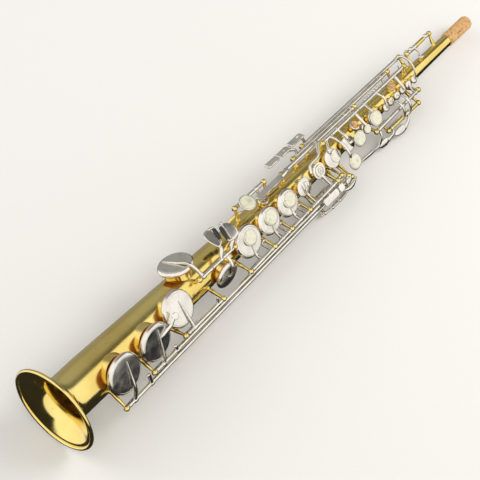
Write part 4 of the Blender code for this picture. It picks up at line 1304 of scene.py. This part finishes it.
def make_side_keys():
    """The side B flat, side C and high E keys, and the F sharp trill key."""
    line = "side_Bb"
    stem = bar(
        [line_point(line, 340), (338, 14.8, 20.4), (333, 14.0, 23.0), (322, 13.4, 23.2)],
        [(1.5, 1.5), (1.6, 1.4), (1.8, 1.2), (2.4, 0.9)],
    )
    touch = plate(rounded_outline(38, 6.8, 1.8), 2.2, leaning((307, 13.4, 23.4), 30), 1.0, 0.0, 0.012)
    under = [line_point(line, 439.5), (439.5, 13.2, 10.8), (439.5, 8.5, 12.4), (439.5, 3, 14.8)]
    arm = bar(under, [1.4, 1.2, 1.2, 1.1])
    lever = bar(
        [line_point(line, 389.5), (388.6, 15.6, 17.6), (381.2, 8.7, 20.4), (374.1, 3.7, 21.8),
         (360.4, 2.6, 22.3), (355.2, -3.9, 21.4)],
        [(1.8, 1.8), (1.9, 1.7), (1.8, 1.6), (1.7, 1.5), (1.7, 1.5), (2.0, 1.3)], (1, 0, 0), 7, 16,
    )
    shells = [hinge_tube(line, 335.8, 453.2), stem, touch, arm, lever, cup("side_Bb"), collar(line, 340, 3.4)]
    shells += [collar(line, 439.5), collar(line, 389.5, 3.6), collar(line, 451, 3.0, 2.9)]
    keep_key("side_Bb_key", shells, ("side_Bb",), [("_bumper", "natural_cork", [bumper("side_Bb")])])

    line = "side_C"
    stem = bar(
        [line_point(line, 366), (365, 23, 14.5), (358, 27, 18.0), (349, 29.2, 19.8)],
        [(1.5, 1.5), (1.6, 1.3), (1.9, 1.2), (2.6, 0.9)],
    )
    under = [line_point(line, 511), (511, 14.5, 7.5), (511, 9.0, 10.4), (511, 5, 12.6)]
    arm = bar(under, [1.4, 1.2, 1.2, 1.1])
    shells = [hinge_tube(line, 361.8, 519.2), stem, arm, cup("side_C"), collar(line, 366, 3.4)]
    shells += [collar(line, 511), collar(line, 470, 2.4, 2.2)]
    shells += side_touch(35, 8, (339.5, 29.6, 20.2), 45, (-15.6, 1.2))
    keep_key("side_C_key", shells, ("side_C",), [("_bumper", "natural_cork", [bumper("side_C")])])

    line = "high_E"
    stem = bar(
        [line_point(line, 387), (384, 27.0, 10.4), (380, 30.2, 17.0), (372, 30.4, 20.0)],
        [(1.6, 1.6), (1.9, 1.3), (1.9, 1.2), (2.4, 0.9)],
    )
    across = [
        line_point(line, 546.3), (546.0, 20.5, 14.0), (544.5, 12.0, 20.5), (543.0, 1.0, 19.0),
        at(542.3, -22, cup_top("high_E") + 1.0), at(542, -33, cup_top("high_E") + 0.3),
    ]
    sizes = [(1.5, 1.5), (1.5, 1.2), (1.5, 1.1), (1.4, 1.0), (1.2, 0.8), (0.6, 0.5)]
    arm = bar(across, sizes, (1, 0, 0), 7, 16)
    shells = [hinge_tube(line, 383.8, 548.7), stem, arm, cup("high_E")]
    shells += [collar(line, 387, 3.6), collar(line, 546.3, 3.4)]
    keep_key("high_E_key", shells + side_touch(21, 8, (368.8, 30.2, 20.4), 45, (-9.0,)), ("high_E",))

    line = "trill"
    stem = bar([line_point(line, 275), (275, 20.6, 22.4), (275, 18.6, 24.6)], [1.9, 1.7, 1.8], (1, 0, 0))
    seat = Vector((275.3, 17.2, 24.6))
    holder = holder_at(seat, outward(12))
    under = [line_point(line, 297), (297, 15.2, 17.0), (297, 9.8, 18.2)]
    arm = bar(under, [(1.5, 1.5), (1.4, 1.2), (0.9, 0.8)], (1, 0, 0))
    shells = [hinge_tube(line, 267.3, 306.2), stem, holder, arm, cup("Fsharp_trill")]
    shells += [collar(line, 275), collar(line, 297)]
    button = pearl_at(seat + outward(12) * 0.9, outward(12))
    keep_key("Fsharp_trill_key", shells, ("Fsharp_trill",), [("_pearl", "mother_of_pearl", [button])])


def palm_leaf(stem, root, tip, width):
    """A palm key's lever: a bent stem that swells into a long crowned leaf."""
    root, tip = Vector(root), Vector(tip)
    stops = ((0.1, 0.55), (0.3, 0.95), (0.55, 1.0), (0.8, 0.8), (1.0, 0.3))
    points = [Vector(p) for p in stem] + [root.lerp(tip, part) for part, _ in stops]
    sizes = [(1.4, 1.3)] * len(stem) + [(width * share, max(0.7, 1.5 * share)) for _, share in stops]
    return bar(points, sizes, (0, -1, 0.2), 7, 22)


def make_palm_keys():
    """The palm F, D and E flat keys."""
    line = "palm_outer"
    top = cup_top("palm_F")
    across = [line_point(line, 528.6), at(529.5, -46, 15.4), at(530.6, -31, top + 0.3)]
    arm = blade(across, 1.7, 0.7, outward(-33))
    stem = [line_point(line, 460.5), (460, -26, 8.0), (457, -30.5, 0.0)]
    leaf = palm_leaf(stem, (454, -31.4, -4.0), (430, -30.0, -6.0), 2.7)
    shells = [hinge_tube(line, 458.8, 531.2), cup("palm_F"), arm, leaf]
    shells += [collar(line, 460.5), collar(line, 528.6, 2.8)]
    keep_key("palm_F_key", shells, ("palm_F",))

    line = "palm_inner"
    for name, x0, x1, lever_x, tip, root in (
        ("palm_D", 476.8, 502.7, 479.0, (457, -32.0, -3.4), (474, -33.6, -2.0)),
        ("palm_Eb", 503.3, 525.2, 507.0, (482, -34.6, -1.2), (501, -35.6, 0.0)),
    ):
        x = HOLES[name][0]
        foot = max(x + 1, x0 + 1.5)
        across = bar(
            [at(x, -31, cup_top(name) + 0.3), (x, -11.5, 16.8), (x + 0.5, -19.0, 17.2), (x + 1, -25.5, 11.5),
             line_point(line, foot)],
            [(0.7, 0.6), (1.2, 1.0), (1.3, 1.1), (1.4, 1.2), (1.5, 1.5)], outward(-27), 7, 16,
        )
        stem = [line_point(line, lever_x), (lever_x, -31.5, 2.5)]
        leaf = palm_leaf(stem, root, tip, 4.2)
        shells = [cup(name), across, leaf, collar(line, lever_x), collar(line, foot, 2.8)]
        sleeve = hinge_tube(line, x0, x1)
        keep_key(name + "_key", shells, (name,), [("_sleeve", "lacquered_brass", [sleeve])])


def make_octave_keys():
    """The neck's octave key, the thumb's lever and the body's octave key."""
    line = "neck_octave"
    top = at(571, 35, cup_top(line))
    root = line_point(line, 571)
    arm = blade([root, top.lerp(root, 0.5) + Vector((0, 0.6, 0.8)), top], 1.4, 0.6, (1, 0, 0))
    down = [line_point(line, 563), (563, 20.5, 6.0), (563, 19.6, 2.2)]
    tail = bar(down, [(1.6, 1.6), (1.6, 1.3), (1.8, 1.0)], (1, 0, 0))
    shells = [hinge_tube(line, 560.3, 596.7), arm, tail, cup(line), collar(line, 571)]
    shells += [ball(line_point(line, x) + Vector((0, 0.6, 1.2)), 2.5) for x in (565.2, 592.4)]
    sleeve = hinge_tube(line, 573.5, 589.0, 2.2)
    keep_key("neck_octave_key", shells, (line,), [("_sleeve", "lacquered_brass", [sleeve])])

    line = "octave_lever"
    touch = bar(
        [(443.4, 1.8, -17.2), (448, 0.4, -17.9), (452, -0.6, -17.9), (455.8, -1.2, -17.5)],
        [(2.0, 0.9), (3.3, 1.4), (3.2, 1.4), (1.8, 0.9)], (0, 0, -1), 7, 20,
    )
    stem = bar([line_point(line, 451), (450, 3, -17.6)], [1.6, 1.4], (1, 0, 0))
    tail = bar([line_point(line, 550), (553, 15.0, -9.0)], [1.4, 1.1], (1, 0, 0))
    shells = [hinge_tube(line, 445.8, 552.2), touch, stem, tail, collar(line, 451), collar(line, 550, 2.8)]
    keep_key("octave_thumb_key", shells)

    line = "body_octave"
    arm = bar([line_point(line, 505), at(505, 172, cup_top(line))], [1.4, 0.9], (1, 0, 0))
    shells = [hinge_tube(line, 492.8, 517.2), arm, cup(line), collar(line, 505)]
    keep_key("body_octave_key", shells, (line,))


def make_left_pinky():
    """The left little finger's G sharp and low C sharp touches."""
    line = "left_pinky"
    for name, x0, x1, centre, length in (
        ("Gsharp_touch", 351.2, 375.0, 359.0, 23), ("low_Csharp_touch", 375.6, 388.4, 376.0, 8.0),
    ):
        root = line_point(line, max(centre, x0 + 1.8))
        sizes = [(1.5, 1.5), (1.4, 1.2), (1.8, 0.9)]
        stem = bar([root, (root.x, -28.2, 11.6), (centre, -31.8, 13.2)], sizes, (1, 0, 0))
        place = leaning((centre, -34.6, 13.0), -18)
        touch = plate(rounded_outline(length, 7.5, 2.2), 1.4, place, 0.5, 0.3, 0.012)
        keep_key(name, [hinge_tube(line, x0, x1), collar(line, root.x), stem, touch])


# ---------------------------------------------------------------- studio


CAMERA_PLACE = (-503.547, 0.0, 1217.596)
CAMERA_AIM = (256.795, -3.442, 0.0)
CAMERA_ROLL = -0.756
CAMERA_LENS = 113.63
SENSOR = 36.0
FLOOR_Z = -0.0005
BRIGHT = 1.2
DIM = 0.34
DARK = 0.03


def make_camera():
    """The camera above and before the bell, turned so that the tube runs across the picture."""
    place, aim = Vector(CAMERA_PLACE), Vector(CAMERA_AIM)
    forward = (aim - place).normalized()
    level = forward.cross(Vector((0, 1, 0))).normalized()
    rise = level.cross(forward)
    right = level * math.cos(CAMERA_ROLL) + rise * math.sin(CAMERA_ROLL)
    up = rise * math.cos(CAMERA_ROLL) - level * math.sin(CAMERA_ROLL)
    turn = TO_ROW.to_3x3().normalized()
    rows = Matrix((turn @ right, turn @ up, turn @ -forward)).transposed().to_4x4()
    data = bpy.data.cameras.new("camera")
    data.lens = CAMERA_LENS
    data.sensor_width = SENSOR
    camera = bpy.data.objects.new("camera", data)
    camera.matrix_world = Matrix.Translation(TO_ROW @ place) @ rows
    bpy.context.scene.collection.objects.link(camera)
    bpy.context.scene.camera = camera


def lamp(name, place, size, power, colour):
    """A soft lamp that lights the scene, but is not itself seen in the metal."""
    data = bpy.data.lights.new(name, "AREA")
    data.shape = "RECTANGLE"
    data.size, data.size_y = size
    data.energy = power
    data.color = colour
    light = bpy.data.objects.new(name, data)
    light.location = place
    light.rotation_euler = (-Vector(place)).to_track_quat("-Z", "Y").to_euler()
    light.visible_glossy = False
    bpy.context.scene.collection.objects.link(light)


def blend(tree, value, low, high, first, second):
    """A grey that goes smoothly from first to second while value goes from low to high."""
    node = tree.nodes.new("ShaderNodeMapRange")
    node.interpolation_type = "SMOOTHSTEP"
    tree.links.new(value, node.inputs["Value"])
    for key, setting in zip(("From Min", "From Max", "To Min", "To Max"), (low, high, first, second)):
        if hasattr(setting, "links"):
            tree.links.new(setting, node.inputs[key])
        else:
            node.inputs[key].default_value = setting
    return node.outputs["Result"]


def make_room():
    """What the metal reflects.

    A bright soft ceiling and front, a dim wall on the player's right, and the dark lower half of
    the room on the left.
    """
    world = bpy.data.worlds.new("room")
    world.use_nodes = True
    tree = world.node_tree
    where = tree.nodes.new("ShaderNodeTexCoord").outputs["Generated"]
    turn = TO_ROW.to_3x3().normalized()
    parts = []
    for axis in ((1, 0, 0), (0, 1, 0), (0, 0, 1)):
        node = tree.nodes.new("ShaderNodeVectorMath")
        node.operation = "DOT_PRODUCT"
        node.inputs[1].default_value = turn @ Vector(axis)
        tree.links.new(where, node.inputs[0])
        parts.append(node.outputs["Value"])
    along, across, upward = parts
    ceiling = blend(tree, upward, 0.2, 0.9, BRIGHT * 0.92, BRIGHT)
    left = blend(tree, upward, 0.11, 0.21, DARK, ceiling)
    far = blend(tree, across, 0.35, 0.75, DIM * 0.45, DIM * 1.25)
    low = blend(tree, upward, -0.3, 0.05, DIM, far)
    wall = blend(tree, along, -0.25, 0.15, BRIGHT, low)
    whole = blend(tree, across, 0.17, 0.28, left, wall)
    shader = tree.nodes["Background"]
    drive(shader, "Strength", whole)
    shader.inputs["Color"].default_value = (1.0, 0.985, 0.96, 1.0)
    bpy.context.scene.world = world


def make_studio():
    """A pale floor, two soft lamps, and the room that the metal reflects."""
    shape = bmesh.new()
    bmesh.ops.create_grid(shape, x_segments=8, y_segments=8, size=3.0)
    mesh = bpy.data.meshes.new("floor")
    shape.to_mesh(mesh)
    shape.free()
    mesh.materials.append(bpy.data.materials["pale_floor"])
    floor = bpy.data.objects.new("floor", mesh)
    floor.location.z = FLOOR_Z
    floor.visible_glossy = False
    bpy.context.scene.collection.objects.link(floor)
    lamp("key", (0.9, -0.9, 1.3), (1.1, 0.9), 16, (1.0, 0.98, 0.95))
    lamp("fill", (-0.6, 1.3, 0.9), (1.2, 0.7), 5, (0.95, 0.97, 1.0))
    make_room()
    bpy.context.scene.view_settings.view_transform = "Standard"


def main():
    """Builds everything."""
    make_materials()
    make_body()
    make_bell()
    make_cork()
    make_all_posts()
    make_fittings()
    make_bell_keys()
    make_right_pinky()
    make_lower_stack()
    make_upper_stack()
    make_side_keys()
    make_palm_keys()
    make_octave_keys()
    make_left_pinky()
    make_camera()
    make_studio()


main()
bpy.context.view_layer.update()
